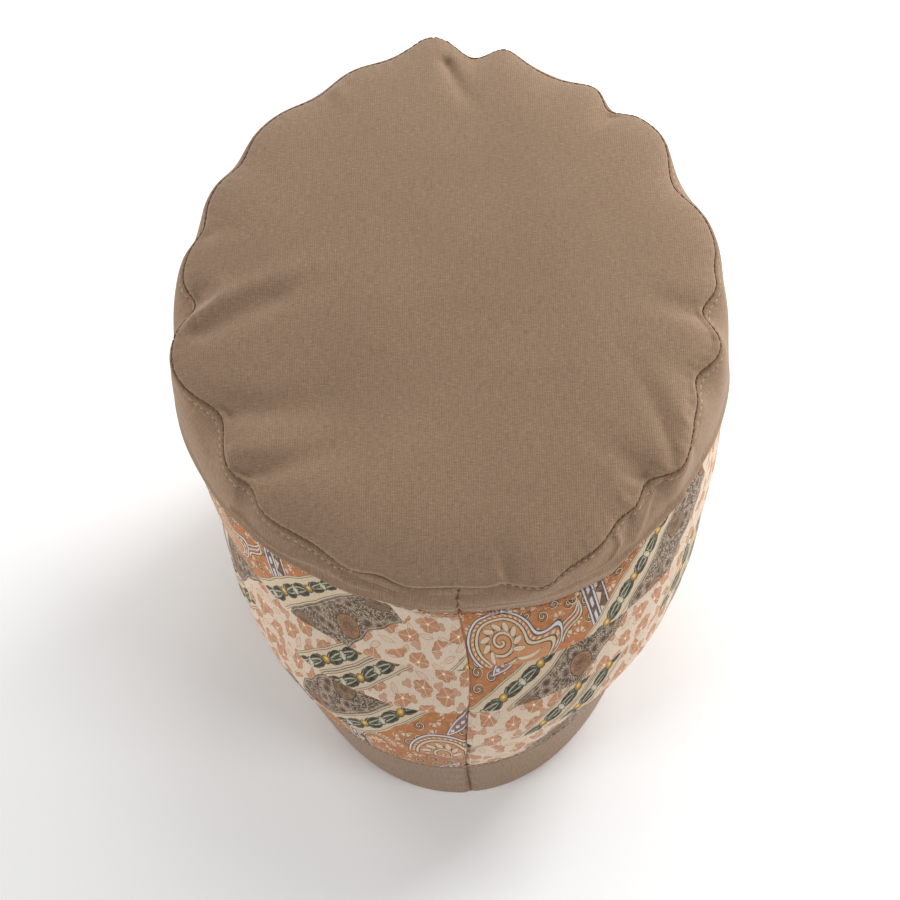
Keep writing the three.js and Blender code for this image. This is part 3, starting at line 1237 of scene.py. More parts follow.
    def draw_chain(self, canvas: Canvas, spot: Spot) -> None:
        """A long pointed leaf with a lavender edge and a row of lozenges down its middle.

        Args:
            canvas: The canvas.
            spot: The place from the leaf's middle.
        """
        inside = spot.leaf(8.5, 2.6)
        canvas.outlined(inside, self.lavender, 0.3)
        canvas.fill(inside - 0.6, Tone(128, 98, 88))
        lozenge = abs(spot.y) * 1.2 + (spot.x * (1 / 1.3)).math("PINGPONG", 1.0) * 1.3
        canvas.paint(lozenge.fall(0.9, 1.05) * inside.rise(0.7, 0.8), self.lavender)

    def draw_drop(self, canvas: Canvas, spot: Spot) -> None:
        """A curled drop, whose radius grows towards one angle of polar axes that twist: an outline
        with a lavender one round it, a fan of petals and a curl in its belly.

        Args:
            canvas: The canvas.
            spot: The place from the middle of the drop's belly.
        """
        reach, belly = spot.reach(), 9.2
        twist = spot.angle() + reach * 0.085
        edge = twist.cosine().math("MAXIMUM", 0.0).math("POWER", 5.0) * 10.5 + belly
        beyond, share = reach - edge, reach / edge
        canvas.fill(3.6 - beyond, self.orange)
        canvas.cord(beyond - 2.9, 0.8, self.lavender)
        canvas.paint(twist.teeth(17.0) * abs(beyond - 1.4).fall(0.3, 0.5), self.bone)
        canvas.fill(-beyond, Tone(186, 130, 88))
        canvas.cord(beyond, 1.0, self.bone)
        across = abs((twist * 5.5).cosine()) * reach * (1 / 5.5)
        away = (share - 0.66) * belly
        petal = 1.0 - away * away * 0.3 - across * across
        canvas.outlined(petal - share.rise(0.88, 1.0) * 3.0, self.bone, 0.22)
        canvas.cord(coil(reach, twist, 3.4), 0.95, self.bone, share.fall(0.44, 0.46))

    def draw_rosette(self, canvas: Canvas, spot: Spot) -> None:
        """A rosette of rings, petals and short rays at the stripe's edge.

        Args:
            canvas: The canvas.
            spot: The place from the rosette's middle.
        """
        reach, angle = spot.reach(), spot.angle()
        canvas.fill(7.9 - reach, self.orange)
        canvas.paint(reach.fall(7.6, 7.8) * reach.rise(6.0, 6.2) * angle.teeth(16.0, 0.4, 0.7), self.bone)
        canvas.cord(reach - 5.4, 0.6, self.bone)
        petals = abs((angle * 5.0).sine())
        flower = petals * 1.6 + 2.4 - reach
        canvas.outlined(flower, Tone(214, 166, 128), 0.2)
        canvas.paint(flower.rise(0.0, 0.1) * (petals * reach).fall(0.3, 0.55), self.bone)
        canvas.fill(1.0 - reach, canvas.ink)


@dataclass(frozen=True)
class BackSeam:
    """The seam that closes a band at the centre back: how deep and how wide it draws in."""

    depth: float = 0.9
    width: float = 0.8
    pucker: float = 0.22
    pucker_length: float = 5.5
    pucker_reach: float = 5.0
    pucker_slant: float = 0.04

    def draw_in(self, along: Array, up: Array, around: float) -> Array:
        """The depth that the seam adds: a bell at both ends of the band, and small puckers beside
        it that fade with distance.

        Args:
            along: Place along the band, in millimetres.
            up: Place up the band, in millimetres.
            around: The band's whole length, in millimetres.

        Returns:
            The depth in millimetres.
        """
        from_seam = np.minimum(along, around - along)
        waves = np.sin(2 * math.pi * up / self.pucker_length + self.pucker_slant * along)
        puckers = self.pucker * waves * np.exp(-from_seam / self.pucker_reach)
        return self.depth * bell(from_seam, self.width) + puckers


@dataclass
class Cloth:
    """A piece of cloth on the wall that replaces a node of the frame. Its flat size is in metres and
    its area in square metres. Its thickness and all other sizes are in millimetres."""

    wall: Wall
    material: Material
    name: str
    node: str
    slot: Slot
    held: Hold
    rests_on: str
    flat: Span
    area: float
    thickness: float
    seam: BackSeam = BackSeam()

    def lay(self, points: Array, places: Array, centre: Array | None = None) -> Piece:
        """Makes the piece from its grid of points and gives it its thickness.

        Args:
            points: Rows by columns of points, in millimetres, the rows going down the outside.
            places: The same rows by columns of places on the flat cloth, in millimetres.
            centre: The pole that closes the first row, or None for a strip.

        Returns:
            The piece.
        """
        rows, columns, _ = points.shape
        wrapped = centre is not None
        vertices, flat, triangles = points.reshape(-1, 3), places.reshape(-1, 2), None
        if wrapped:
            first = np.arange(columns)
            triangles = np.stack([first, (first + 1) % columns, np.full(columns, len(vertices))], -1)
            vertices, flat = np.vstack([vertices, centre]), np.vstack([flat, [0.0, 0.0]])
        piece = lay_mesh(self.name, vertices, grid_faces(rows, columns, wrapped), triangles)
        corners = np.zeros(len(piece.data.loops), np.int32)
        piece.data.loops.foreach_get("vertex_index", corners)
        uv = piece.data.uv_layers.new(name=CLOTH_MAP)
        uv.data.foreach_set("uv", flat[corners].astype(np.float32).ravel())
        solid = piece.modifiers.new("cloth_thickness", "SOLIDIFY")
        solid.thickness, solid.offset = self.thickness * MM, -1.0
        piece.data.materials.append(self.material)
        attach(piece, "root")
        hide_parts(self.node)
        return piece

    def declare(self, piece: Piece, stitches: list[Piece]) -> None:
        """Args:
            piece: The piece.
            stitches: The rows of stitches that go with it. Not used.
        """
        log.info("%s: %d faces, flat %.3f by %.3f m", piece.name, len(piece.data.polygons), *self.flat)


@dataclass
class HemBand(Cloth):
    """The hem, a strip folded double along the rim, its outer edge turned in at the hem seam."""

    name: str = "hem_cloth"
    node: str = "hem_band"
    slot: Slot = Slot.PLAIN
    held: Hold = Hold.FOLDED
    rests_on: str = "floor"
    flat: Span = (0.585, 0.048)
    area: float = 0.0275
    thickness: float = 0.5
    height: float = 23.0
    fold_radius: float = 1.0
    tucked: tuple[Span, ...] = ((-0.9, 1.35), (-0.3, 1.0), (-0.12, 0.55), (-0.35, 0.15), (-0.9, 0.0))
    columns: int = 420

    def build(self) -> Piece:
        """The hem as a profile carried round the wall: down the outside, half a circle under the
        rim, and up the inside.

        Returns:
            The piece.
        """
        angle = back_to_back(self.columns)
        along = self.wall.length_round(HEM_SEAM, angle)
        top, radius, turn = self.height, self.fold_radius, np.linspace(0, math.pi, 11)
        tucked = [(top + rise, depth) for rise, depth in self.tucked]
        outside = [(up, 0.0) for up in np.linspace(top - 2.0, 1.6, 18)]
        under = [(radius - radius * s, radius - radius * c) for s, c in zip(np.sin(turn), np.cos(turn))]
        inside = [(up, 2 * radius) for up in np.linspace(2.5, top - 2.5, 8)]
        up, depth = (np.array(part)[:, None] for part in zip(*tucked, *outside, *under, *inside))
        path = np.concatenate([[0.0], np.cumsum(np.hypot(np.diff(up[:, 0]), np.diff(depth[:, 0])))])
        relief = 0.35 * soft_waves(along + 0 * up, up + 0 * along, 38.0, 21) * np.clip(up / 4.0, 0, 1)
        relief = relief + gathers(0.16, 4.3, 1.8, along, top - up)
        ditch = self.seam.draw_in(along, up + 0 * along, along[-1]) * (depth < radius)
        points = self.wall.point(self.wall.level_at(up) + 0 * angle, angle, depth + relief + ditch)
        points[..., 2] = np.maximum(points[..., 2], 0.0)
        return self.lay(points, np.stack(np.broadcast_arrays(along, top - path[:, None]), -1))


@dataclass(frozen=True)
class Tuck:
    """A tuck of the print band: the heights of its fold edge above the hem seam and the cloth
    hidden in it, right and left of the centre back."""

    right_edge: float
    left_edge: float
    right_hidden: float
    left_hidden: float


@dataclass
class PrintBand(Cloth):
    """The printed band, one strip folded into three flat tucks. Its edges turn in at the print seam
    and at the hem seam, and the lowest tuck bulges in one place."""

    name: str = "print_cloth"
    node: str = "print_band"
    slot: Slot = Slot.PRINTED
    held: Hold = Hold.FOLDED
    rests_on: str = "hem_band"
    flat: Span = (0.672, 0.17)
    area: float = 0.1035
    thickness: float = 0.5
    height: float = 82.0
    tucks: tuple[Tuck, ...] = (
        Tuck(58.5, 58.0, 15.2, 29.8),
        Tuck(40.0, 39.5, 30.5, 37.4),
        Tuck(22.5, 14.5, 27.3, 7.6),
    )
    step: float = 1.5
    fold_radius: float = 0.52
    inner_gap: float = 0.15
    puff: float = 0.5
    edge_fold: float = 1.9
    bulge: Pull = Pull(207, 2.4, 13)
    bulge_rise: float = 2.5
    start: float = 4.0
    ease: float = 41.5
    ease_start: float = 0.24
    ease_span: float = 0.52
    columns: int = 540
    seam_rows: tuple[float, ...] = (0.0, 0.35, 0.7, 1.05, 1.35, 1.6, 1.8, 2.0, 2.2, 2.5, 3.0, 4.0)
    tier_rows: int = 9
    over_seam: tuple[Span, ...] = ((3.2, 1.7), (1.8, 1.5), (0.8, 1.1), (0.15, 0.45))
    hidden_top: float = 3.6
    foot: float = 0.6
    under_foot: tuple[Span, ...] = ((0.15, 0.4), (0.1, 1.0), (0.9, 1.6), (2.6, 2.0))

    def left_share(self, angle: Array) -> Array:
        """From 0 just right of the centre back to 1 just left of it, a sine's sweep round the front."""
        return 0.5 + 0.5 * np.sin(math.pi / 2 * turn_between(FRONT, angle) / (FULL_TURN / 2))

    def tier_depth(self, up: Array, low: Array, high: Array, step: float, top: Array) -> Array:
        """How deep a tier's cloth lies: it leans out to its step at its lower edge and puffs out
        half a sine between its edges. Just under the print seam it has a narrow sewn edge.

        Args:
            up: Height above the hem seam.
            low: Height of the tier's lower edge.
            high: Height of its upper edge.
            step: How far the lower edge stands out.
            top: Height of the print seam.

        Returns:
            The depth, in millimetres.
        """
        share = np.clip((up - low) / (high - low), 0, 1)
        from_fold = top - up - self.edge_fold
        edge = 0.5 * bell(from_fold, 0.3) - 0.35 * bell(from_fold + self.edge_fold / 2, 0.5)
        return -step * (1 - share) - self.puff * np.sin(math.pi * share) ** 0.8 + edge

    def section(self, angle: Array, along: Array, top: Array) -> tuple[Array, Array]:
        """The path of the cloth from the print seam down to the hem seam, folds included. Each tier
        runs down to its fold edge, turns half a circle, climbs behind itself, turns again and
        comes down as the next tier.

        Args:
            angle: The columns' angles, in degrees.
            along: The columns' places along the band, in millimetres.
            top: The print seam's height at the columns.

        Returns:
            The rows' heights above the hem seam and their depths, rows by columns.
        """
        left, radius, gap = self.left_share(angle), self.fold_radius, self.inner_gap
        half_turn = np.linspace(0, math.pi, 6)[1:-1, None]
        spread = np.linspace(0, 1, self.tier_rows)[:, None]
        behind = np.linspace(0, 1, 4)[:, None]
        bulge = bell(turn_between(self.bulge.angle, angle), self.bulge.spread)
        ups, depths = ([rows] for rows in turned_edge(top, self.over_seam))
        high = top
        for tuck in self.tucks:
            wave = 0.8 * soft_waves(along, 0 * along, 46.0, int(tuck.right_hidden))
            low = tuck.right_edge + (tuck.left_edge - tuck.right_edge) * left + wave
            if tuck is self.tucks[-1]:
                low = low + self.bulge_rise * bulge
            climb = (tuck.right_hidden + (tuck.left_hidden - tuck.right_hidden) * left) / 2
            visible = high + (low - high) * spread
            if tuck is self.tucks[0]:
                edge = high - np.array(self.seam_rows)[:, None]
                visible = np.concatenate([edge, edge[-1] + (low - edge[-1]) * spread[1:]])
            rising = low + climb * behind
            inner = self.tier_depth(rising, low, high, self.step, top) + 2 * radius
            ups += [visible, low - radius * np.sin(half_turn), rising, rising[-1:] + gap / 2, rising[:0:-1]]
            depths += [self.tier_depth(visible, low, high, self.step, top)]
            depths += [-self.step + radius * (1 - np.cos(half_turn)) + 0 * low]
            depths += [inner, inner[-1:] + gap / 2, inner[:0:-1] + gap]
            high = low
        last = high + (self.foot - high) * spread
        share = np.clip((last - self.foot) / (high - self.foot), 0, 1)
        rounded = self.bulge.push * bulge * np.sin(math.pi * share) ** 0.7
        foot_up, foot_depth = turned_edge(0 * top, self.under_foot)
        ups += [last, foot_up]
        depths += [self.tier_depth(last, self.foot, high, 0.0, top) - rounded, foot_depth]
        return np.concatenate(ups), np.concatenate(depths)

    def build(self) -> Piece:
        """The band's section carried round the wall, with soft waves, gathers under the side band
        and the seam at the back. The flat place counts the cloth's length along the section, so
        the print runs on through the tucks, and the strip's front half is eased in.

        Returns:
            The piece.
        """
        wall, angle = self.wall, back_to_back(self.columns)
        along = wall.length_round(PRINT_MIDDLE, angle)
        top = self.height + wall.print_seam_rise(angle)
        up, depth = self.section(angle, along, top)
        steps = np.hypot(np.diff(up, axis=0), np.diff(depth, axis=0))
        path = np.vstack([np.zeros(len(angle)), np.cumsum(steps, axis=0)])
        across = along + 0 * up
        level = wall.level_at(up + wall.heights[HEM_SEAM])
        relief = 0.55 * soft_waves(across, up, 44.0, 5) + 0.22 * soft_waves(across, up, 15.0, 8)
        relief = relief + gathers(0.2, 4.8, 2.2, across, top - up)
        ditch = self.seam.draw_in(across, up, along[-1])
        points = wall.point(level, angle + 0 * up, depth + relief + ditch)
        turned = np.clip((along / along[-1] - self.ease_start) / self.ease_span, 0, 1)
        eased = across + self.start + self.ease * turned**2 * (3 - 2 * turned)
        return self.lay(points, np.stack([eased, top + self.hidden_top - path], -1))


@dataclass
class SideBand(Cloth):
    """The side band, which rolls out over the print seam and is drawn into the crown seam. Its
    upper row of stitches rises close to that seam at the back, where the crown hangs over it."""

    name: str = "side_cloth"
    node: str = "side_band"
    slot: Slot = Slot.PLAIN
    held: Hold = Hold.GATHERED
    rests_on: str = "print_band"
    flat: Span = (0.7, 0.06)
    area: float = 0.0255
    thickness: float = 0.6
    roll: float = 2.4
    back_share: float = 0.4
    scallop_fade: float = 6.0
    top_row: float = 1.75
    top_row_rise: float = 1.1
    lip: float = 1.3
    nip_reach: float = 16.0
    draw_reach: float = 9.0
    around: float = 696.0
    columns: int = 640
    low_rows: tuple[float, ...] = (0.2, 0.5, 0.9, 1.3, 1.7, 2.1, 2.5, 3.0, 3.6, 4.2, 5.0, 6.0, 7.0)
    high_rows: tuple[float, ...] = (
        7.2, 6.2, 5.4, 4.9, 4.5, 4.25, 4.0, 3.75, 3.5, 3.1, 2.6, 2.1, 1.6, 1.1, 0.7, 0.35, 0.1
    )
    middle_rows: int = 16
    row_room: float = 0.93
    over_edge: tuple[Span, ...] = ((3.0, 1.9), (1.4, 1.5), (0.3, 1.1))
    under_edge: tuple[Span, ...] = ((0.05, 0.45), (-0.3, 0.9), (-1.2, 1.1))

    def tallness(self, angle: Array) -> Array:
        """The band's height along the wall at an angle, in millimetres."""
        low = self.wall.point(self.wall.print_seam(angle), angle)
        return np.linalg.norm(self.wall.point(CROWN_SEAM, angle) - low, axis=-1)

    def level(self, angle: Array, high: Array) -> Array:
        """The wall's level at a distance under the crown seam."""
        return CROWN_SEAM - (CROWN_SEAM - self.wall.print_seam(angle)) * high / self.tallness(angle)

    def upper_row(self, angle: Array) -> Array:
        """How far under the crown seam the upper row of stitches runs at an angle."""
        from_back = np.abs(turn_between(CENTRE_BACK + 2, angle))
        return self.top_row - self.top_row_rise * np.clip((28.0 - from_back) / 8.0, 0, 1)

    def face(self, angle: Array, high: Array) -> Array:
        """How deep the band's face lies: a roll that is fullest at the front, a lip over the print
        seam, creases that run down from the crown seam, the groove of the upper row of stitches,
        the ditch at the crown seam and soft waves.

        Args:
            angle: Angle in degrees.
            high: Distance under the crown seam.

        Returns:
            The depth in millimetres.
        """
        along, low = self.wall.length_round(CROWN_SEAM, angle), self.tallness(angle) - high
        scallops = self.wall.scallop_share(self.level(angle, high))
        angle = angle + SEAM_LEAN[-1][1]
        from_top, from_low = np.maximum(high, 0.0), np.maximum(low, 0.0)
        frontness = 0.5 + 0.5 * np.sin(np.radians(angle))
        full = self.roll * (self.back_share + (1 - self.back_share) * frontness)
        depth = -full * (1 - np.exp(-from_top / 1.2)) * (1 - np.exp(-from_low / 3.0))
        fade = np.exp(-((from_top / self.scallop_fade) ** 1.2))
        depth = depth + pulled(SCALLOPS, angle) * (scallops - fade)
        depth = depth - self.lip * bell(low - 2.3, 1.0)
        depth = depth + pulled(BAND_NIPS, angle) * np.exp(-from_top / self.nip_reach)
        drawn = 0.12 * drawn_in(0.8, angle) * np.exp(-from_top / self.draw_reach)
        depth = depth + drawn * (1 - np.exp(-from_top / 1.5))
        depth = depth + 0.35 * bell(high - self.upper_row(angle), 0.35) - 0.3 * bell(high - 0.9, 0.45)
        depth = depth + 0.8 * np.exp(-from_top / 0.55)
        centred = np.where(along > self.around / 2, along - self.around, along)
        for crease in BAND_CREASES:
            depth = depth + crease.sink(centred, high)
        return depth + 0.5 * soft_waves(along, low, 34.0, 13) * np.clip(high / 6.0, 0, 1)

    def on_face(self, angle: Array, high: Array, sunk: float) -> Array:
        """Points at angles and distances under the crown seam, sunk by some millimetres."""
        return self.wall.point(self.level(angle, high), angle, self.face(angle, high) + sunk)

    def build(self) -> Piece:
        """The band as rows between the crown seam and the print seam, close together near both,
        with its edges turned in behind its neighbours.

        Returns:
            The piece.
        """
        angle = back_to_back(self.columns)
        along, tall = self.wall.length_round(CROWN_SEAM, angle), self.tallness(angle)
        squeeze = np.minimum(1.0, self.row_room * tall / (self.low_rows[-1] + self.high_rows[0]))
        from_top = np.array(self.high_rows[::-1])[:, None] * squeeze
        from_low = np.array(self.low_rows[::-1])[:, None] * squeeze
        share = np.linspace(0, 1, self.middle_rows + 2)[1:-1, None]
        middle = from_top[-1] + (tall - from_low[0] - from_top[-1]) * share
        high = np.concatenate([from_top, middle, tall - from_low])
        depth = self.face(angle + 0 * high, high)
        over, under = turned_edge(0 * tall, self.over_edge), turned_edge(tall, self.under_edge)
        high = np.concatenate([over[0], high, under[0]])
        depth = np.concatenate([over[1], depth, under[1]])
        depth = depth + self.seam.draw_in(along + 0 * high, high, along[-1])
        points = self.wall.point(self.level(angle + 0 * high, high), angle + 0 * high, depth)
        return self.lay(points, np.stack(np.broadcast_arrays(along, -high), -1))


@dataclass
class CrownPanel(Cloth):
    """The crown, an oval puffed over its seam, with creases where the seam is pulled in. Its edge
    turns in under the seam."""

    name: str = "crown_cloth"
    node: str = "crown_panel"
    slot: Slot = Slot.PLAIN
    held: Hold = Hold.GATHERED
    rests_on: str = "side_band"
    flat: Span = (0.22, 0.246)
    area: float = 0.0425
    thickness: float = 0.7
    puff: float = 9.0
    roll_power: float = 4.0
    roll_softness: float = 0.6
    inset: float = 0.55
    crease_reach: float = 0.3
    crease_share: float = 0.035
    crease_most: float = 0.4
    gather: float = 0.14
    gather_pitch: float = 5.2
    mean_radius: float = 108.0
    columns: int = 540
    rows: int = 84
    row_power: float = 1.55
    turned_in: tuple[Span, ...] = ((0.5, -0.5), (1.2, -1.6), (1.6, -3.0))

    def build(self) -> Piece:
        """The crown as rings from its middle out to its seam. Its lift is the puff times a power of
        one less a power of the radius' share, less the creases.

        Returns:
            The piece.
        """
        wall, angle = self.wall, np.arange(self.columns) * FULL_TURN / self.columns
        turn = np.radians(angle)
        share = 1 - np.linspace(1, 0, self.rows + 1)[1:, None] ** self.row_power
        push = pulled(wall.scallops, angle)
        full = wall.radius(CROWN_SEAM, angle) - self.inset
        radius = (full - push + push * share**8) * share
        inward = full - radius
        radius = radius + pulled(BACK_OVERHANG, angle) * bell(inward - 2.0, 1.6) * (share > 0.8)
        radius = radius + 0.3 * bell(inward - 1.0, 0.8)
        right, ahead = radius * np.cos(turn), radius * np.sin(turn)
        near = np.clip(1 - (1 - share) / self.crease_reach, 0, 1) ** 2
        dent = near * np.minimum(self.crease_share * drawn_in(1.0, angle), self.crease_most)
        lift = 0.25 + self.puff * (1 - share**self.roll_power) ** self.roll_softness * (1 - dent)
        edge_fade = np.clip(inward / 3.0, 0, 1)
        for crease in CROWN_CREASES:
            lift = lift - crease.sink(right, ahead) * edge_fade
        lift = lift + 0.45 * soft_waves(right, ahead, 52.0, 3) * edge_fade
        pleats = np.sin(turn * 2 * math.pi * self.mean_radius / self.gather_pitch)
        lift = lift + self.gather * pleats * bell(inward - 2.5, 2.0)
        turned = np.array(self.turned_in)
        radius = np.vstack([radius, full - turned[:, :1]])
        lift = np.vstack([lift, turned[:, 1:] + 0 * angle])
        points = wall.on_ring(CROWN_SEAM, angle + 0 * radius, radius, lift)
        centre = wall.on_ring(CROWN_SEAM, 0.0, 0.0, lift[:1].mean())
        steps = np.diff(np.concatenate([0 * points[:1] + centre, points]), axis=0)
        path = np.cumsum(np.linalg.norm(steps, axis=-1), axis=0)
        return self.lay(points, np.stack([path * np.cos(turn), path * np.sin(turn)], -1), centre)


@dataclass
class StitchRow:
    """A row of sewn stitches, joined in one mesh. Each is a thin rounded bead of thread, and all
    sizes are in millimetres."""

    name: str
    stitch: float
    pitch: float
    thick: float
    start: float = 0.5
    uneven: float = 0.06
    sides: int = 6
    rings: int = 5

    def bead(self) -> tuple[Array, Array]:
        """One stitch along X, of length 1 and thickness 1: a row of rings whose radius is the root
        of one less the fourth power of x.

        Returns:
            Its vertices and its triangles.
        """
        x = np.linspace(-0.92, 0.92, self.rings)
        turn = np.arange(self.sides) * 2 * math.pi / self.sides
        ring = np.stack([0 * turn, np.cos(turn), np.sin(turn)], -1)
        body = ring * ((1 - x**4) ** 0.5 * 0.5)[:, None, None]
        body[..., 0] = x[:, None] / 2
        quads = grid_faces(self.rings, self.sides, True)
        sides = np.concatenate([quads[:, [0, 1, 2]], quads[:, [0, 2, 3]]])[:, ::-1]
        first = np.arange(self.sides)
        after, count = (first + 1) % self.sides, self.rings * self.sides
        last = count - self.sides
        caps = [np.stack([first, np.full_like(first, count), after], -1)]
        caps.append(np.stack([last + first, last + after, np.full_like(first, count + 1)], -1))
        ends = np.array([[-0.5, 0, 0], [0.5, 0, 0]])
        return np.vstack([body.reshape(-1, 3), ends]), np.concatenate([sides, *caps])

    def sew(self, path: Array, away: Array, slot: Slot, material: Material) -> Piece:
        """Lays stitches at even steps along a path.

        Args:
            path: Points along the row, in millimetres.
            away: A direction out of the cloth at each point.
            slot: The record's slot. Not used.
            material: The thread's material.

        Returns:
            The stitches.
        """
        run = np.concatenate([[0.0], np.cumsum(np.linalg.norm(np.diff(path, axis=0), axis=-1))])
        count = int(run[-1] / self.pitch)
        draw = np.random.default_rng(count)
        where = (np.arange(count) + self.start + draw.normal(0, 0.05, count)) * run[-1] / count
        length = self.stitch * draw.uniform(0.75, 1.1, count)
        ends = [self.along(run, path, where + side * length / 2) for side in (-1, 1)]
        ends = [end + draw.normal(0, self.uneven, end.shape) for end in ends]
        forward = ends[1] - ends[0]
        forward = forward / np.linalg.norm(forward, axis=-1, keepdims=True)
        side = np.cross(self.along(run, away, where), forward)
        side = side / np.linalg.norm(side, axis=-1, keepdims=True)
        points, faces = self.bead()
        axes = np.stack([forward, side, np.cross(forward, side)], 1)
        size = points * [self.stitch, self.thick, self.thick]
        placed = ((ends[0] + ends[1]) / 2)[:, None] + np.einsum("vk,nkc->nvc", size, axes)
        numbers = faces[None] + (np.arange(count) * len(points))[:, None, None]
        piece = lay_mesh(self.name, placed.reshape(-1, 3), np.zeros((0, 4), int), numbers.reshape(-1, 3))
        piece.data.materials.append(material)
        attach(piece, "root")
        log.info("%s: %d stitches", self.name, count)
        return piece

    @staticmethod
    def along(run: Array, values: Array, where: Array) -> Array:
        """Values at distances along a path, on straight stretches between its points."""
        return np.stack([np.interp(where, run, values[:, axis]) for axis in range(3)], -1)


@dataclass(frozen=True)
class Lamp:
    """A square soft light that faces the cap: its place and side in metres, its power in watts."""

    name: str
    place: tuple[float, float, float]
    size: float
    power: float

    def hang(self, target: Vector) -> None:
        """Hangs the light and turns it.

        Args:
            target: The point that it shines at.
        """
        data = bpy.data.lights.new(self.name, "AREA")
        data.size, data.energy = self.size, self.power
        lamp = bpy.data.objects.new(self.name, data)
        lamp.location = self.place
        lamp.rotation_euler = (Vector(self.place) - target).to_track_quat("Z", "Y").to_euler()
        bpy.context.scene.collection.objects.link(lamp)


@dataclass(frozen=True)
class Studio:
    """The pale floor, the soft lights and the camera, in metres and degrees, with a lens and a
    sensor in millimetres."""

    target: tuple[float, float, float] = (-0.00136, -0.01666, 0.08006)
    distance: float = 0.7
    elevation: float = 53.94
    azimuth: float = 1.57
    roll: float = -2.21
    lens: float = 72.0
    sensor: float = 36.0
    floor_half: float = 4.0
    floor_tone: Tone = Tone(254, 254, 254)
    air: float = 0.25
    lamps: tuple[Lamp, ...] = (
        Lamp("front_light", (0.1, 0.55, 0.75), 0.5, 2.6),
        Lamp("front_right_light", (0.9, 0.9, 0.8), 0.6, 18.5),
        Lamp("front_left_light", (-0.9, 0.9, 0.8), 0.6, 5.0),
        Lamp("right_light", (1.0, -0.5, 0.3), 0.5, 7.2),
        Lamp("left_light", (-1.0, -0.5, 0.3), 0.5, 6.9),
    )

    def set_up(self) -> None:
        """Builds the camera, the floor, the lights and the air's own light."""
        self.stand_camera()
        self.lay_floor()
        for lamp in self.lamps:
            lamp.hang(Vector(self.target))
        world = bpy.data.worlds.new("studio_air")
        world.use_nodes = True
        background = world.node_tree.nodes["Background"]
        background.inputs["Color"].default_value = (1.0, 1.0, 1.0, 1.0)
        background.inputs["Strength"].default_value = self.air
        bpy.context.scene.world = world
        bpy.context.scene.view_settings.view_transform = "Standard"

    def stand_camera(self) -> None:
        """The camera, turned round the target, tipped down to it, rolled and drawn back from it."""
        data = bpy.data.cameras.new("photo_camera")
        data.lens, data.sensor_width = self.lens, self.sensor
        data.clip_start, data.clip_end = 0.01, 20.0
        camera = bpy.data.objects.new("photo_camera", data)
        place = Matrix.Translation(self.target)
        for angle, axis in ((self.azimuth, "Z"), (90 - self.elevation, "X"), (self.roll, "Z")):
            place = place @ Matrix.Rotation(math.radians(angle), 4, axis)
        camera.matrix_world = place @ Matrix.Translation((0.0, 0.0, self.distance))
        bpy.context.scene.collection.objects.link(camera)
        bpy.context.scene.camera = camera

    def lay_floor(self) -> None:
        """A wide plain floor."""
        signs = np.array([[-1, -1, 0], [1, -1, 0], [1, 1, 0], [-1, 1, 0]])
        floor = lay_mesh("floor", signs * self.floor_half / MM, np.array([[0, 1, 2, 3]]))
        material = bpy.data.materials.new("pale_floor")
        material.use_nodes = True
        shader = material.node_tree.nodes["Principled BSDF"]
        shader.inputs["Base Color"].default_value = self.floor_tone.light()
        shader.inputs["Roughness"].default_value = 0.9
        floor.data.materials.append(material)


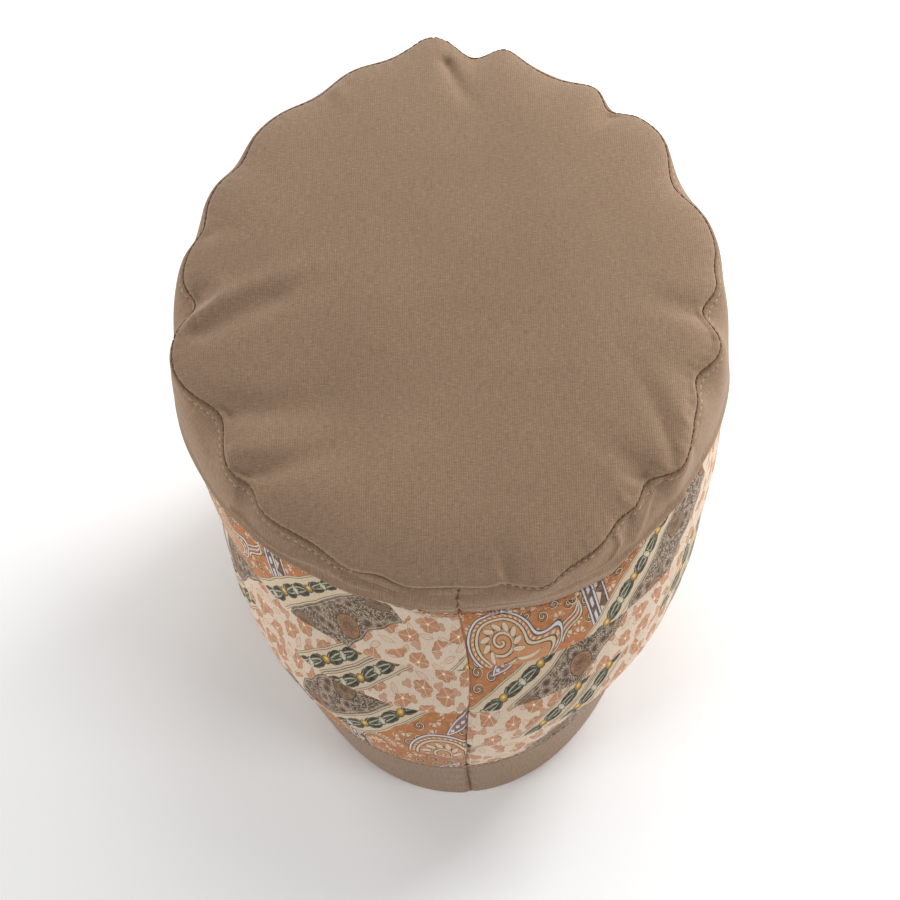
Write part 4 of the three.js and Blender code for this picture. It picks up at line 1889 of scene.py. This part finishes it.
@dataclass
class TurbanCap:
    """The whole cap: its four pieces of cloth and the stitches that join them."""

    wall: Wall

    def build(self) -> None:
        """Builds the hem, the print band, the side band, the crown and their stitches."""
        hem_tone = Tone(147, 122, 101)
        crown = CrownPanel(self.wall, PlainJersey("crown_jersey").material())
        # The side band and the hem get stronger painted shade in the grooves between their wales.
        side = SideBand(self.wall, PlainJersey("side_jersey", wale_shade=0.36, streak=(0.6, 3.0)).material())
        hem = HemBand(
            self.wall, PlainJersey("hem_jersey", hem_tone, wale_shade=0.5, streak=(0.7, 5.0)).material()
        )
        print_band = PrintBand(self.wall, PrintedJersey().material())
        pieces = [cloth.build() for cloth in (hem, print_band, side, crown)]
        sewn = self.sew_rows(hem, print_band, side, crown)
        for cloth, piece in zip((crown, side, print_band, hem), reversed(pieces)):
            cloth.declare(piece, sewn[cloth.name])

    def sew_rows(
        self, hem: HemBand, print_band: PrintBand, side: SideBand, crown: CrownPanel
    ) -> dict[str, list[Piece]]:
        """Sews every visible row of stitches.

        Args:
            hem: The hem.
            print_band: The print band.
            side: The side band.
            crown: The crown.

        Returns:
            The rows by the name of the cloth that they go with.
        """
        wall = self.wall
        dark = Thread("dark_thread", Tone(122, 89, 60), Tone(86, 61, 42)).material()
        light = Thread("light_thread", Tone(208, 184, 154), Tone(160, 132, 104)).material()
        angle = np.linspace(CENTRE_BACK, CENTRE_BACK + FULL_TURN, 2401)
        turn = np.radians(angle)
        outward = np.stack([np.cos(turn), np.sin(turn), 0.0 * turn], -1)
        raised = outward + [0.0, 0.0, 0.9]
        ditch = wall.on_ring(CROWN_SEAM, angle, wall.radius(CROWN_SEAM, angle) - 0.15, 0.42)
        upper = side.on_face(angle, side.upper_row(angle), 0.1)
        lower = wall.point(wall.print_seam(angle) - 0.012, angle, 0.05)
        edge_height = wall.heights[PRINT_SEAM] + wall.print_seam_rise(angle) - print_band.edge_fold
        edge = wall.point(wall.level_at(edge_height), angle, -0.35)
        at_hem = wall.point(HEM_SEAM + 0.03, angle, -0.1)
        down, back = np.linspace(0, 1, 60), np.full(60, CENTRE_BACK)
        hem_back = wall.point(np.linspace(0.12, HEM_SEAM - 0.08, 60), back, 0.35)
        band_back = side.on_face(back, 0.7 + (side.tallness(back) - 1.6) * down, 0.15)
        behind = np.broadcast_to([0.0, -1.0, 0.0], hem_back.shape)
        rows = (
            (crown, StitchRow("crown_seam_stitches", 2.2, 2.4, 0.66, uneven=0.1), ditch, raised, dark),
            (side, StitchRow("side_top_stitches", 1.3, 2.9, 0.42), upper, raised, light),
            # Painted shadow: dark thread beads between the top stitches stand for the shade in the needle
            # holes.
            (side, StitchRow("side_top_holes", 0.7, 2.9, 0.5, 0.0), upper, raised, dark),
            (side, StitchRow("print_seam_stitches", 1.7, 3.1, 0.38), lower, outward, dark),
            (print_band, StitchRow("print_edge_stitches", 1.1, 2.7, 0.4), edge, outward, light),
            (print_band, StitchRow("hem_seam_stitches", 1.0, 2.4, 0.36), at_hem, outward, light),
            (hem, StitchRow("hem_back_stitches", 1.4, 2.5, 0.32), hem_back, behind, dark),
            (side, StitchRow("side_back_stitches", 1.2, 2.4, 0.3), band_back, behind, dark),
        )
        sewn: dict[str, list[Piece]] = {cloth.name: [] for cloth in (hem, print_band, side, crown)}
        for cloth, row, path, away, thread in rows:
            sewn[cloth.name].append(row.sew(path, away, cloth.slot, thread))
        return sewn


def main() -> None:
    """Builds the studio and the cap around the frame."""
    logging.basicConfig(level=logging.INFO, format="%(name)s: %(message)s")
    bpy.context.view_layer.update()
    Studio().set_up()
    TurbanCap(Wall(RINGS, SCALLOPS)).build()


if __name__ == "__main__":
    main()
